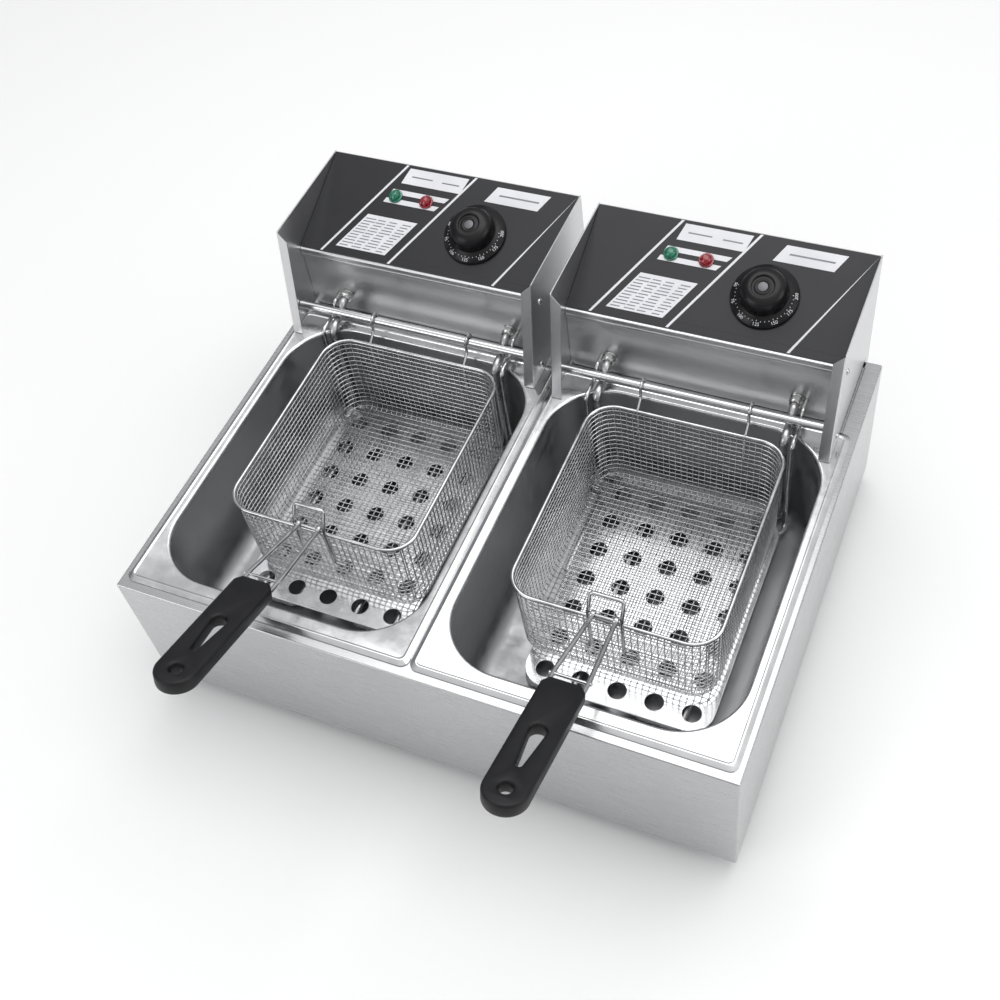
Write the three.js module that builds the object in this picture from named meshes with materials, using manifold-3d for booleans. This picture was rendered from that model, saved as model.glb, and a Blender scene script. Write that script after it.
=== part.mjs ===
// A countertop electric fryer with two oil tanks side by side, in millimetres, +Z up.
// It is laid out from the front edge of the casing (y = 0) and its middle (x = 0), standing on z = 0,
// and the whole group is moved at the end, so that the origin is the middle of its footprint.
import * as THREE from "three";
import { mergeVertices } from "three/addons/utils/BufferGeometryUtils.js";
import Module from "manifold-3d";

const wasm = await Module();
wasm.setup();

// Driving dimensions
const GAP = 0.3; // clearance between pieces that touch
const SHEET = 1.2; // sheet steel of the casing, tanks and control heads
const CASING = { width: 560, depth: 440, height: 145.5, sideLip: 14, frontLip: 17 };
const FOOT = { height: 18, radius: 15, inset: 45 };
const TANK = {
  pitch: 275.5, brimWidth: 275, brimFront: 8, brimDepth: 342, brimSlope: 4.2, brimRise: 3,
  openWidth: 250, openFront: 25.5, openDepth: 311, cornerRadius: 56, depth: 112,
};
const HEAD = {
  width: 258, footFront: 315, topFront: 335.5, rear: 459, top: 260.5, strip: 10,
  tabBottom: 118, tabFront: 443.2, faceY: 362, barY: 360.5, barHeight: 8, floorZ: 149.4,
};
const PANEL = { slope: THREE.MathUtils.degToRad(22.5), depth: 97, thickness: 1.2 };
const KNOB = { x: 42.5, v: 39.3, skirtRadius: 30, gripRadius: 19.5, height: 24, lift: 1.2 };
const LAMP = { greenX: -49, redX: -16.5, v: 62, radius: 5.6, bodyRadius: 4.5, hole: 5.2 };
const SPINDLE = { radius: 3, hole: 5 };
const GLAND = { x: 70, z: 172, radius: 9, flange: 13, bore: 5 }; // where the supply cord leaves each head
const RESET = { x: 10, z: 215, radius: 5, travel: 3, body: 9 };
const VENT = { count: 6, firstX: -100, pitch: 16, width: 6, low: 205, high: 238 };
const BASE_SLOT = { x: 150, halfLength: 40, firstY: 160, pitch: 26, width: 6, rows: 5 };
const TERMINAL = { x0: -70, x1: -10, front: 400, depth: 18, height: 16, wellRadius: 3, wellPitch: 14 };
const ROD = { y: 337, z: 167, radius: 4 };
const ELEMENT = {
  x: 87, z: 168, radius: 4, bendY: 349, bendEnd: 341, overZ: 157, dropY: 322, floorZ: 42,
  runX: 70, turnX: 29, frontY: 84, rearY: 285,
};
const PROBE = { radius: 2, x: 95.5, dropY: 317, turnY: 303, bulbX: 79, bulbRadius: 3.2 };
const GUARD = { width: 172, front: 78, rear: 312, z: 50.5, thickness: 1.2, holeRadius: 8.2, pitch: 33.5 };
const BASKET = {
  width: 185, depth: 221, rimZ: 150, floorZ: 57, cornerRadius: 27, wire: 3.5, wall: 1.5, rodGap: 15, hookX: 50,
};
const BRACKET = { x: 14.5, wire: 3.2, legBottom: 112, pivotZ: 157.5, topZ: 176, lean: 8.5 };
const HANDLE = {
  rise: THREE.MathUtils.degToRad(17), wire: 4, spread: 10, gripSpread: 14.5, gripStart: 84, gripLength: 132,
  gripWidth: 36, gripThick: 13,
};
// Each control head and basket stands loosely on its tank, a few millimetres off its middle.
const UNITS = [
  { side: "left", x: -TANK.pitch / 2, seatX: -4.5, seatY: 2.3, guardX: 0 },
  { side: "right", x: TANK.pitch / 2, seatX: -2.7, seatY: -2.4, guardX: 10 },
];
const DECK = FOOT.height + CASING.height; // top of the casing
const DECK_FRONT = TANK.openFront + TANK.openDepth + 4; // front edge of the fixed strip behind the tanks
const lift = (z) => z + FOOT.height; // from a height above the casing's bottom edge to one above the worktop

const STEEL = { color: 0xb9bcbf, roughness: 0.28, metalness: 1 };
const BRIGHT = { color: 0xd0d2d4, roughness: 0.15, metalness: 1 };
const BLACK = { color: 0x17181a, roughness: 0.4, metalness: 0 };
const RUBBER = { color: 0x202020, roughness: 0.85, metalness: 0 };
const CREAM = { color: 0xd8d2c0, roughness: 0.5, metalness: 0 };

// Solids
function solidOf(geometry) {
  const bare = geometry.clone();
  bare.deleteAttribute("normal");
  bare.deleteAttribute("uv");
  const merged = mergeVertices(bare, 1e-4);
  const mesh = new wasm.Mesh({
    numProp: 3,
    vertProperties: merged.attributes.position.array,
    triVerts: new Uint32Array(merged.index.array),
  });
  return new wasm.Manifold(mesh);
}

function geometryOf(solid) {
  const mesh = solid.getMesh();
  const geometry = new THREE.BufferGeometry();
  geometry.setAttribute("position", new THREE.BufferAttribute(new Float32Array(mesh.vertProperties), 3));
  geometry.setIndex(new THREE.BufferAttribute(new Uint32Array(mesh.triVerts), 1));
  const faceted = geometry.toNonIndexed();
  faceted.computeVertexNormals();
  return faceted;
}

const join = (...geometries) => geometryOf(geometries.map(solidOf).reduce((a, b) => a.add(b)));

const cut = (geometry, ...tools) =>
  geometryOf(tools.map(solidOf).reduce((a, b) => a.subtract(b), solidOf(geometry)));

// A box from its lowest corner to its highest.
function box(x0, x1, y0, y1, z0, z1) {
  const geometry = new THREE.BoxGeometry(x1 - x0, y1 - y0, z1 - z0);
  return geometry.translate((x0 + x1) / 2, (y0 + y1) / 2, (z0 + z1) / 2);
}

// A cylinder along Z, Y or X, centred on a point.
function rod(axis, radius, length, centre, sides = 16) {
  const geometry = new THREE.CylinderGeometry(radius, radius, length, sides);
  if (axis === "z") geometry.rotateX(Math.PI / 2);
  if (axis === "x") geometry.rotateZ(Math.PI / 2);
  return geometry.translate(...centre);
}

function roundedRect(width, depth, radius) {
  const shape = new THREE.Shape();
  const [a, b] = [width / 2 - radius, depth / 2 - radius];
  shape.absarc(a, b, radius, 0, Math.PI / 2);
  shape.absarc(-a, b, radius, Math.PI / 2, Math.PI);
  shape.absarc(-a, -b, radius, Math.PI, 1.5 * Math.PI);
  shape.absarc(a, -b, radius, 1.5 * Math.PI, 2 * Math.PI);
  return shape;
}

// A flat shape in X and Y, pulled up from z0 to z1.
function slab(shape, z0, z1, curveSegments = 6) {
  const options = { depth: z1 - z0, bevelEnabled: false, curveSegments };
  return new THREE.ExtrudeGeometry(shape, options).translate(0, 0, z0);
}

// A profile in Y and Z, pulled along X from x0 to x1.
function along(profile, x0, x1, curveSegments = 6) {
  const options = { depth: x1 - x0, bevelEnabled: false, curveSegments };
  const geometry = new THREE.ExtrudeGeometry(profile, options);
  return geometry.rotateX(Math.PI / 2).rotateZ(Math.PI / 2).translate(x0, 0, 0);
}

const outline = (points) => new THREE.Shape(points.map(([y, z]) => new THREE.Vector2(y, z)));

// The closed outline of a bent sheet, from the line of its outer face. The sheet lies on the line's left.
function bentSheet(line, thickness) {
  const points = line.map(([y, z]) => new THREE.Vector2(y, z));
  const normals = points.slice(1).map((p, i) => {
    const run = p.clone().sub(points[i]).normalize();
    return new THREE.Vector2(-run.y, run.x);
  });
  const inner = points.map((p, i) => {
    const before = normals[Math.max(i - 1, 0)];
    const after = normals[Math.min(i, normals.length - 1)];
    const mitre = before.clone().add(after).normalize();
    return p.clone().add(mitre.multiplyScalar(thickness / mitre.dot(after)));
  });
  return new THREE.Shape([...points, ...inner.reverse()]);
}

// A wire's centre line: straight runs with an arc at each corner. Only the arcs are divided.
class BentWire extends THREE.Curve {
  constructor(corners, bendRadius, stepsPerBend = 5) {
    super();
    const points = corners.map((c) => new THREE.Vector3(...c));
    this.stations = [];
    points.forEach((p, i) => {
      if (i === 0 || i === points.length - 1) {
        const run = i === 0 ? points[1].clone().sub(p) : p.clone().sub(points[i - 1]);
        this.stations.push([p, run.normalize()]);
        return;
      }
      const into = p.clone().sub(points[i - 1]).normalize();
      const out = points[i + 1].clone().sub(p).normalize();
      const turn = into.angleTo(out);
      const side = out.clone().sub(into).normalize();
      const centre = p.clone().add(side.multiplyScalar(bendRadius / Math.cos(turn / 2)));
      const start = p.clone().sub(into.clone().multiplyScalar(bendRadius * Math.tan(turn / 2)));
      const axis = into.clone().cross(out).normalize();
      for (let k = 0; k <= stepsPerBend; k++) {
        const angle = (turn * k) / stepsPerBend;
        const at = start.clone().sub(centre).applyAxisAngle(axis, angle).add(centre);
        this.stations.push([at, into.clone().applyAxisAngle(axis, angle)]);
      }
    });
  }
  station(u) {
    return this.stations[Math.round(u * (this.stations.length - 1))];
  }
  getPointAt(u) {
    return this.station(u)[0].clone();
  }
  getTangentAt(u) {
    return this.station(u)[1].clone();
  }
}

function wire(corners, radius, bendRadius, sides = 8, stepsPerBend = 5) {
  const path = new BentWire(corners, bendRadius, stepsPerBend);
  const section = new THREE.Shape();
  section.absarc(0, 0, radius, 0, 2 * Math.PI);
  const steps = path.stations.length - 1;
  const options = { steps, extrudePath: path, curveSegments: sides / 2, bevelEnabled: false };
  return new THREE.ExtrudeGeometry(section, options);
}

// A solid of revolution about a line through (x, y, z) that runs along Z, from points of radius and height.
function turned(profile, sides = 24) {
  const points = profile.map(([r, h]) => new THREE.Vector2(r, h));
  return new THREE.LatheGeometry(points, sides).rotateX(Math.PI / 2);
}

const fryer = new THREE.Group();

function add(parent, name, geometry, look) {
  const mesh = new THREE.Mesh(geometry, new THREE.MeshStandardMaterial(look));
  mesh.name = name;
  parent.add(mesh);
  return mesh;
}

// Casing
function casingShell() {
  const [w, d] = [CASING.width / 2, CASING.depth];
  const [z0, z1] = [FOOT.height, DECK];
  const inside = box(-w + SHEET, w - SHEET, SHEET, d - SHEET, z0 - 1, z1 - SHEET);
  const { sideLip, frontLip } = CASING;
  const mouth = box(-w + sideLip, w - sideLip, frontLip, d - SHEET, z1 - 10, z1 + 1);
  return cut(box(-w, w, 0, d, z0, z1), inside, mouth);
}

function rearDeck() {
  const half = CASING.width / 2 - CASING.sideLip - GAP;
  const line = [[CASING.depth - SHEET - GAP, DECK], [DECK_FRONT, DECK], [DECK_FRONT, DECK - 12]];
  return along(bentSheet(line, SHEET), -half, half);
}

function basePlate() {
  const inset = SHEET + GAP;
  const [w, z] = [CASING.width / 2 - inset, FOOT.height + GAP];
  const plate = box(-w, w, inset, CASING.depth - inset, z, z + SHEET);
  const slots = [];
  const { x, halfLength, firstY, pitch, width, rows } = BASE_SLOT;
  for (const middle of [-x, x])
    for (let row = 0; row < rows; row++) {
      const y = firstY + pitch * row;
      slots.push(box(middle - halfLength, middle + halfLength, y, y + width, z - 1, z + SHEET + 1));
    }
  return cut(plate, ...slots);
}

function centreBar() {
  const half = TANK.pitch / 2 - TANK.openWidth / 2 - SHEET - 1;
  const flange = 14;
  const [y0, y1] = [CASING.frontLip + GAP, DECK_FRONT - GAP];
  return join(
    box(-half, half, y0, y1, DECK - SHEET, DECK),
    box(-half, -half + SHEET, y0, y1, DECK - flange, DECK),
    box(half - SHEET, half, y0, y1, DECK - flange, DECK),
  );
}

function foot() {
  const { radius, height } = FOOT;
  return turned([[0, 0], [radius - 2, 0], [radius - 1, 1], [radius + 1, height], [0, height]], 16);
}

add(fryer, "casing_shell", casingShell(), STEEL);
add(fryer, "rear_deck", rearDeck(), STEEL);
add(fryer, "base_plate", basePlate(), STEEL);
add(fryer, "centre_bar", centreBar(), STEEL);
for (const [row, y] of [["front", FOOT.inset], ["rear", CASING.depth - FOOT.inset]])
  for (const [side, x] of [["left", -1], ["right", 1]]) {
    const mesh = add(fryer, `foot_${row}_${side}`, foot(), RUBBER);
    mesh.position.set(x * (CASING.width / 2 - FOOT.inset), y, 0);
  }

// Tank: a deep pan whose flat flange ends in a brim that slopes down to the casing
function tank() {
  const { brimWidth, brimDepth, brimFront, brimSlope, brimRise } = TANK;
  const floor = DECK + brimRise - TANK.depth;
  const middle = brimFront + brimDepth / 2;
  const flat = roundedRect(brimWidth - 2 * brimSlope, brimDepth - 2 * brimSlope, 6);
  const bevel = { bevelEnabled: true, bevelSize: brimSlope, bevelThickness: brimRise - 0.4, bevelSegments: 1 };
  const brim = (z) =>
    new THREE.ExtrudeGeometry(flat, { depth: 0.01, curveSegments: 4, ...bevel }).translate(0, middle, z);
  const foot = DECK + 0.4;
  const belly = box(-brimWidth, brimWidth, -20, CASING.depth, foot - 20, foot);
  const { openWidth, openDepth, cornerRadius } = TANK;
  const openMiddle = TANK.openFront + openDepth / 2;
  const pan = (grow) => roundedRect(openWidth + 2 * grow, openDepth + 2 * grow, cornerRadius + grow);
  const outer = slab(pan(SHEET), floor - SHEET, foot + brimRise / 2, 5).translate(0, openMiddle, 0);
  const inner = slab(pan(0), floor, DECK + 20, 5).translate(0, openMiddle, 0);
  const skirt = cut(brim(foot), brim(foot - SHEET), belly);
  return cut(join(skirt, outer), inner);
}

// The way down into the tank from the head's front face: under the hanging rod and over the tank's flange
function riser(x, dropY, up) {
  const { z, bendY, bendEnd, overZ, floorZ } = ELEMENT;
  return [
    [x, HEAD.faceY - GAP, lift(z)], [x, bendY, lift(z)], [x, bendEnd, lift(overZ)], [x, dropY, lift(overZ)],
    [x, dropY, lift(floorZ) + up],
  ];
}

// Heating element: one tube that drops into the tank at each side and runs to and fro along the floor
function heatingElement() {
  const { x, dropY, runX, turnX, frontY, rearY, floorZ } = ELEMENT;
  const low = lift(floorZ);
  const corners = [
    ...riser(-x, dropY, 0), [-runX, dropY, low], [-runX, frontY, low], [-turnX, frontY, low],
    [-turnX, rearY, low], [turnX, rearY, low], [turnX, frontY, low], [runX, frontY, low],
    [runX, dropY, low], ...riser(x, dropY, 0).reverse(),
  ];
  return wire(corners, ELEMENT.radius, 7.5, 8, 3);
}

function elementNut() {
  const nut = new THREE.CylinderGeometry(7.1, 7.1, 5.5, 6).translate(0, 2.75, 0);
  const collar = new THREE.CylinderGeometry(5.6, 5.9, 3.6, 10).translate(0, 6.8, 0);
  const bore = new THREE.CylinderGeometry(ELEMENT.radius + 0.6, ELEMENT.radius + 0.6, 40, 10);
  return cut(join(nut, collar), bore).rotateX(Math.PI);
}

// A sensing bulb that lies beside the element, with the thin tube that leads up into the control head
function probe(side) {
  const { x, dropY, turnY, bulbX, radius, bulbRadius } = PROBE;
  const low = lift(ELEMENT.floorZ) + 1;
  const run = [[side * x, turnY, low], [side * bulbX, turnY, low], [side * bulbX, dropY - 30, low]];
  const tube = wire([...riser(side * x, dropY, 1), ...run], radius, 6, 6, 3);
  return join(tube, rod("y", bulbRadius, 90, [side * bulbX, dropY - 70, low], 8));
}

function guardPlate() {
  const { width, front, rear, z, thickness, holeRadius, pitch } = GUARD;
  const shape = roundedRect(width, rear - front, 22);
  for (let i = -2; i <= 2; i++)
    for (let j = 0; j < 7; j++) {
      const hole = new THREE.Path();
      hole.absarc(i * pitch, front + 17.5 + j * pitch - (front + rear) / 2, holeRadius, 0, 2 * Math.PI, true);
      shape.holes.push(hole);
    }
  return slab(shape, lift(z), lift(z) + thickness, 3).translate(0, (front + rear) / 2, 0);
}

// Control head
function headSide() {
  const { footFront, topFront, rear, top, tabBottom, tabFront, strip } = HEAD;
  const bottom = DECK + TANK.brimRise + GAP;
  const plate = outline([
    [footFront, bottom], [topFront, lift(top)], [rear, lift(top)],
    [rear, lift(tabBottom)], [tabFront, lift(tabBottom)], [tabFront, bottom],
  ]);
  const fold = outline([
    [footFront, bottom], [topFront, lift(top)], [topFront + SHEET, lift(top)], [footFront + SHEET, bottom],
  ]);
  const mitre = outline([[SHEET, 1], [strip + 1, 1], [strip + 1, -strip]]);
  const corner = new THREE.ExtrudeGeometry(mitre, { depth: 40, bevelEnabled: false });
  corner.rotateX(Math.PI / 2).translate(0, topFront + 20, lift(top));
  return join(along(plate, 0, SHEET), cut(along(fold, 0, strip), corner));
}

// The panel's own frame: x across the head, y up its slope and z out of its face,
// from the middle of its front edge.
const panelFront = {
  y: HEAD.rear - SHEET - PANEL.depth * Math.cos(PANEL.slope),
  z: lift(HEAD.top) - PANEL.depth * Math.sin(PANEL.slope),
};
function placePanel(geometry) {
  return geometry.rotateX(PANEL.slope).translate(0, panelFront.y, panelFront.z);
}

function headTray() {
  const half = HEAD.width / 2 - SHEET - GAP;
  const down = PANEL.thickness + GAP;
  const rearY = HEAD.rear - SHEET - GAP - 1;
  const skinZ = (y) => panelFront.z + (y - panelFront.y) * Math.tan(PANEL.slope) - down / Math.cos(PANEL.slope);
  const barTop = skinZ(HEAD.barY);
  const line = [
    [rearY, skinZ(rearY)], [HEAD.barY, barTop], [HEAD.barY, barTop - HEAD.barHeight],
    [HEAD.faceY, barTop - HEAD.barHeight - 1], [HEAD.faceY, lift(HEAD.floorZ)], [rearY, lift(HEAD.floorZ)],
  ];
  const body = along(bentSheet(line, SHEET), -half, half);
  const holes = [
    placePanel(rod("z", LAMP.hole, 20, [LAMP.greenX, LAMP.v, 0], 12)),
    placePanel(rod("z", LAMP.hole, 20, [LAMP.redX, LAMP.v, 0], 12)),
    placePanel(rod("z", SPINDLE.hole, 20, [KNOB.x, KNOB.v, 0], 12)),
  ];
  return cut(body, ...holes);
}

function controlPanel() {
  const shape = roundedRect(HEAD.width - 2 * (SHEET + GAP), PANEL.depth - 1, 0.5);
  const holes = [
    [LAMP.greenX, LAMP.v, LAMP.hole], [LAMP.redX, LAMP.v, LAMP.hole], [KNOB.x, KNOB.v, SPINDLE.hole],
  ];
  for (const [x, v, r] of holes) {
    const hole = new THREE.Path();
    hole.absarc(x, v - PANEL.depth / 2, r, 0, 2 * Math.PI, true);
    shape.holes.push(hole);
  }
  return placePanel(slab(shape, -PANEL.thickness, 0, 4).translate(0, PANEL.depth / 2, 0));
}

function backCover() {
  const half = HEAD.width / 2 - SHEET - GAP;
  const plate = box(-half, half, HEAD.rear - SHEET, HEAD.rear, lift(HEAD.tabBottom), lift(HEAD.top) - 1);
  const vents = [];
  for (let i = 0; i < VENT.count; i++) {
    const x = VENT.firstX + VENT.pitch * i;
    vents.push(box(x, x + VENT.width, HEAD.rear - 5, HEAD.rear + 5, lift(VENT.low), lift(VENT.high)));
  }
  const gland = rod("y", GLAND.radius + 0.8, 20, [GLAND.x, HEAD.rear, lift(GLAND.z)], 12);
  const button = rod("y", RESET.radius + 0.6, 20, [RESET.x, HEAD.rear, lift(RESET.z)], 12);
  return cut(plate, ...vents, gland, button);
}

function cordGland() {
  const { bore, radius, flange } = GLAND;
  const profile = [
    [bore, -8], [radius, -8], [radius, GAP], [flange, GAP], [flange, 5], [radius, 18], [bore, 18], [bore, -8],
  ];
  const body = turned(profile, 12);
  return body.rotateX(-Math.PI / 2).translate(GLAND.x, HEAD.rear, lift(GLAND.z));
}

function resetButton() {
  const { radius, body } = RESET;
  const button = turned([[0, -body], [radius, -body], [radius, 4.2], [radius - 1, 5.2], [0, 5.2]], 12);
  return button.rotateX(-Math.PI / 2).translate(RESET.x, HEAD.rear, lift(RESET.z));
}

function limitSwitch() {
  const y = HEAD.rear - RESET.body - RESET.travel - 1;
  return box(RESET.x - 14, RESET.x + 14, y - 22, y, lift(RESET.z) - 11, lift(RESET.z) + 11);
}

function knob() {
  const { skirtRadius, gripRadius, height, lift: up } = KNOB;
  const profile = [
    [0, up + 12], [3.6, up + 12], [3.6, up], [skirtRadius, up], [skirtRadius, up + 1.6],
    [gripRadius + 2.5, up + 5.5], [gripRadius, up + 7], [gripRadius - 1.5, height - 1.5],
    [gripRadius - 4, height], [0, height],
  ];
  return placePanel(turned(profile, 20).translate(KNOB.x, KNOB.v, 0));
}

const spindle = () => placePanel(rod("z", SPINDLE.radius, 23, [KNOB.x, KNOB.v, 1], 12));

function thermostat() {
  const body = rod("z", 19, 24, [KNOB.x, KNOB.v, -24], 20);
  const neck = rod("z", 6.5, 6, [KNOB.x, KNOB.v, -9.5], 12);
  const lug = box(KNOB.x - 24, KNOB.x + 24, KNOB.v - 7, KNOB.v + 7, -17, -14);
  const bore = rod("z", SPINDLE.radius + GAP, 20, [KNOB.x, KNOB.v, -1], 12);
  return placePanel(cut(join(body, neck, lug), bore));
}

function lamp(x) {
  const { radius, bodyRadius, v } = LAMP;
  const profile = [[0, -16], [bodyRadius, -16], [bodyRadius, GAP], [radius + 1.4, GAP], [radius + 1.4, 1.4],
    [radius, 1.6], [radius - 0.4, 4], [radius - 2.2, 5.8], [0, 6.6]];
  return placePanel(turned(profile, 10).translate(x, v, 0));
}

const hangingRod = () =>
  rod("x", ROD.radius, HEAD.width - 2 * (SHEET + GAP), [0, ROD.y, lift(ROD.z)], 12);

function terminalBlock() {
  const { x0, x1, front, depth, height, wellRadius, wellPitch } = TERMINAL;
  const z = lift(HEAD.floorZ) + SHEET + GAP;
  const body = box(x0, x1, front, front + depth, z, z + height);
  const wells = [-1.5, -0.5, 0.5, 1.5].map((i) =>
    rod("z", wellRadius, 8, [(x0 + x1) / 2 + i * wellPitch, front + depth / 2, z + height], 8),
  );
  return cut(body, ...wells);
}

// Basket: a thin-walled tub for the wire mesh, and the welded frame of rim, hooks and handle bracket
const basketRear = ROD.y - BASKET.rodGap;
const basketFront = basketRear - BASKET.depth;
const basketMiddle = (basketFront + basketRear) / 2;

function basketMesh() {
  const tub = (shrink) =>
    roundedRect(BASKET.width - 2 * shrink, BASKET.depth - 2 * shrink, BASKET.cornerRadius - shrink);
  const top = lift(BASKET.rimZ) - BASKET.wire / 2 - GAP;
  const outer = slab(tub(1.2), lift(BASKET.floorZ), top, 4);
  const inner = slab(tub(1.2 + BASKET.wall), lift(BASKET.floorZ) + BASKET.wall, top + 5, 4);
  return cut(outer, inner).translate(0, basketMiddle, 0);
}

function basketFrame() {
  const { wire: size, rimZ, width, depth, cornerRadius } = BASKET;
  const rim = roundedRect(width, depth, cornerRadius);
  rim.holes.push(roundedRect(width - 2 * size, depth - 2 * size, cornerRadius - size));
  const ring = slab(rim, lift(rimZ) - size / 2, lift(rimZ) + size / 2, 4).translate(0, basketMiddle, 0);
  const bend = ROD.radius + 0.5 + size / 2;
  const hook = (x) =>
    wire(
      [
        [x, basketRear - size / 2, lift(rimZ)], [x, ROD.y - bend, lift(rimZ) + 10],
        [x, ROD.y - bend, lift(ROD.z) + bend], [x, ROD.y + bend, lift(ROD.z) + bend],
        [x, ROD.y + bend, lift(ROD.z) - 5],
      ],
      size / 2 - 0.05, bend * 0.98, 6, 4,
    );
  const { x, wire: thin, legBottom, pivotZ, topZ, lean } = BRACKET;
  const front = basketFront - 0.4;
  const bracket = wire(
    [
      [-x, front, lift(legBottom)], [-x, front, lift(pivotZ)], [-x, front + lean, lift(topZ)],
      [x, front + lean, lift(topZ)], [x, front, lift(pivotZ)], [x, front, lift(legBottom)],
    ],
    thin / 2, 3, 6, 2,
  );
  const pivot = rod("x", thin / 2 - 0.03, 2 * x, [0, front, lift(pivotZ)], 10);
  return join(ring, hook(-BASKET.hookX), hook(BASKET.hookX), bracket, pivot);
}

// Handle, drawn lying along -Y from its pivot and then raised to its rest slope
const pivotPoint = [0, basketFront - 0.4, lift(BRACKET.pivotZ)];
const placeHandle = (geometry) => geometry.rotateX(-HANDLE.rise).translate(...pivotPoint);

function handleWire() {
  const { wire: size, spread, gripSpread, gripStart } = HANDLE;
  const eye = (x) =>
    turned([[2.1, -2], [4, -2], [4, 2], [2.1, 2], [2.1, -2]], 14).rotateY(Math.PI / 2).translate(x, 0, 0);
  const leg = (s) =>
    wire(
      [[s * spread, -3, 0], [s * gripSpread, -gripStart + 14, 0], [s * gripSpread, -gripStart - 32, 0]],
      size / 2, 12, 8, 2,
    );
  const cross = rod("x", 1.5, 2 * gripSpread, [0, -gripStart + 9, 0], 8);
  return placeHandle(join(eye(-spread), eye(spread), leg(-1), leg(1), cross));
}

function handleGrip() {
  const { gripStart, gripLength, gripWidth, gripThick, gripSpread, wire: size } = HANDLE;
  const half = gripWidth / 2;
  const [near, far] = [-gripStart, -gripStart - gripLength];
  const shape = new THREE.Shape();
  shape.moveTo(half - 5, near);
  shape.lineTo(-half + 5, near);
  shape.lineTo(-half, near - 5);
  shape.absarc(0, far + half + 0.5, half + 0.5, Math.PI, 2 * Math.PI);
  shape.lineTo(half, near - 5);
  const slot = new THREE.Path();
  slot.absarc(0, near - 56, 6.5, 0, Math.PI);
  slot.absarc(0, near - 90, 2.5, Math.PI, 2 * Math.PI);
  const hole = new THREE.Path();
  hole.absarc(0, far + half, 5.4, 0, 2 * Math.PI, true);
  shape.holes.push(slot, hole);
  const bevel = { bevelEnabled: true, bevelSize: 2, bevelThickness: 2, bevelOffset: -2, bevelSegments: 1 };
  const options = { depth: gripThick - 4, curveSegments: 4, ...bevel };
  const body = new THREE.ExtrudeGeometry(shape, options).translate(0, 0, 2 - gripThick / 2);
  const bore = (x) => rod("y", size / 2 + GAP, 70, [x, near + 2, 0], 10);
  return placeHandle(cut(body, bore(-gripSpread), bore(gripSpread)));
}

// One tank with all that stands in it or hangs from it
for (const { side, x, seatX, seatY, guardX } of UNITS) {
  const well = new THREE.Group();
  well.position.x = x;
  const head = new THREE.Group();
  head.position.set(x + seatX, seatY, 0);
  const hung = new THREE.Group();
  hung.position.set(x, seatY, 0);
  fryer.add(well, head, hung);
  const node = (parent, name, geometry, look) => add(parent, `${side}_${name}`, geometry, look);

  node(well, "tank", tank(), BRIGHT);
  node(head, "heating_element", heatingElement(), STEEL);
  for (const [hand, s] of [["left", -1], ["right", 1]]) {
    const plate = node(head, `head_side_${hand}`, headSide(), STEEL);
    plate.position.x = (s * HEAD.width) / 2;
    plate.scale.x = -s;
    const nut = node(head, `element_nut_${hand}`, elementNut(), BRIGHT);
    nut.position.set(s * ELEMENT.x, HEAD.faceY - GAP, lift(ELEMENT.z));
  }
  node(head, "thermostat_probe", probe(-1), BRIGHT);
  node(head, "limit_probe", probe(1), BRIGHT);
  node(head, "guard_plate", guardPlate().translate(guardX, 0, 0), BRIGHT);
  node(head, "head_tray", headTray(), STEEL);
  node(head, "back_cover", backCover(), STEEL);
  node(head, "control_panel", controlPanel(), BLACK);
  node(head, "cord_gland", cordGland(), BLACK);
  node(head, "reset_button", resetButton(), { ...BLACK, color: 0xa01818 });
  node(head, "limit_switch", limitSwitch(), CREAM);
  node(head, "knob", knob(), BLACK);
  node(head, "knob_spindle", spindle(), BRIGHT);
  node(head, "thermostat", thermostat(), STEEL);
  node(head, "green_lamp", lamp(LAMP.greenX), { color: 0x1c8f55, roughness: 0.2, metalness: 0 });
  node(head, "red_lamp", lamp(LAMP.redX), { color: 0xc01c2c, roughness: 0.2, metalness: 0 });
  node(head, "hanging_rod", hangingRod(), BRIGHT);
  node(head, "terminal_block", terminalBlock(), CREAM);
  node(hung, "basket_mesh", basketMesh(), BRIGHT);
  node(hung, "basket_frame", basketFrame(), BRIGHT);
  node(hung, "handle_wire", handleWire(), BRIGHT);
  node(hung, "handle_grip", handleGrip(), BLACK);
}

// The origin is the middle of the footprint, on the worktop.
fryer.updateMatrixWorld(true);
const middle = new THREE.Box3().setFromObject(fryer, true).getCenter(new THREE.Vector3());
fryer.children.forEach((child) => {
  child.position.x -= middle.x;
  child.position.y -= middle.y;
});

export default fryer;
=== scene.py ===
"""Looks of a countertop electric fryer with two lift-out oil tanks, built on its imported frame.

Each sub-assembly is drawn in its own seat: millimetres from the unit's middle, the casing's front edge
and the casing's bottom edge. The seat's matrix then carries the mesh into the frame, in metres.
"""

import logging
import math
from dataclasses import dataclass
from enum import Enum
from typing import Iterable, Sequence

import bmesh
import bpy
from mathutils import Matrix, Vector


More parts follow.
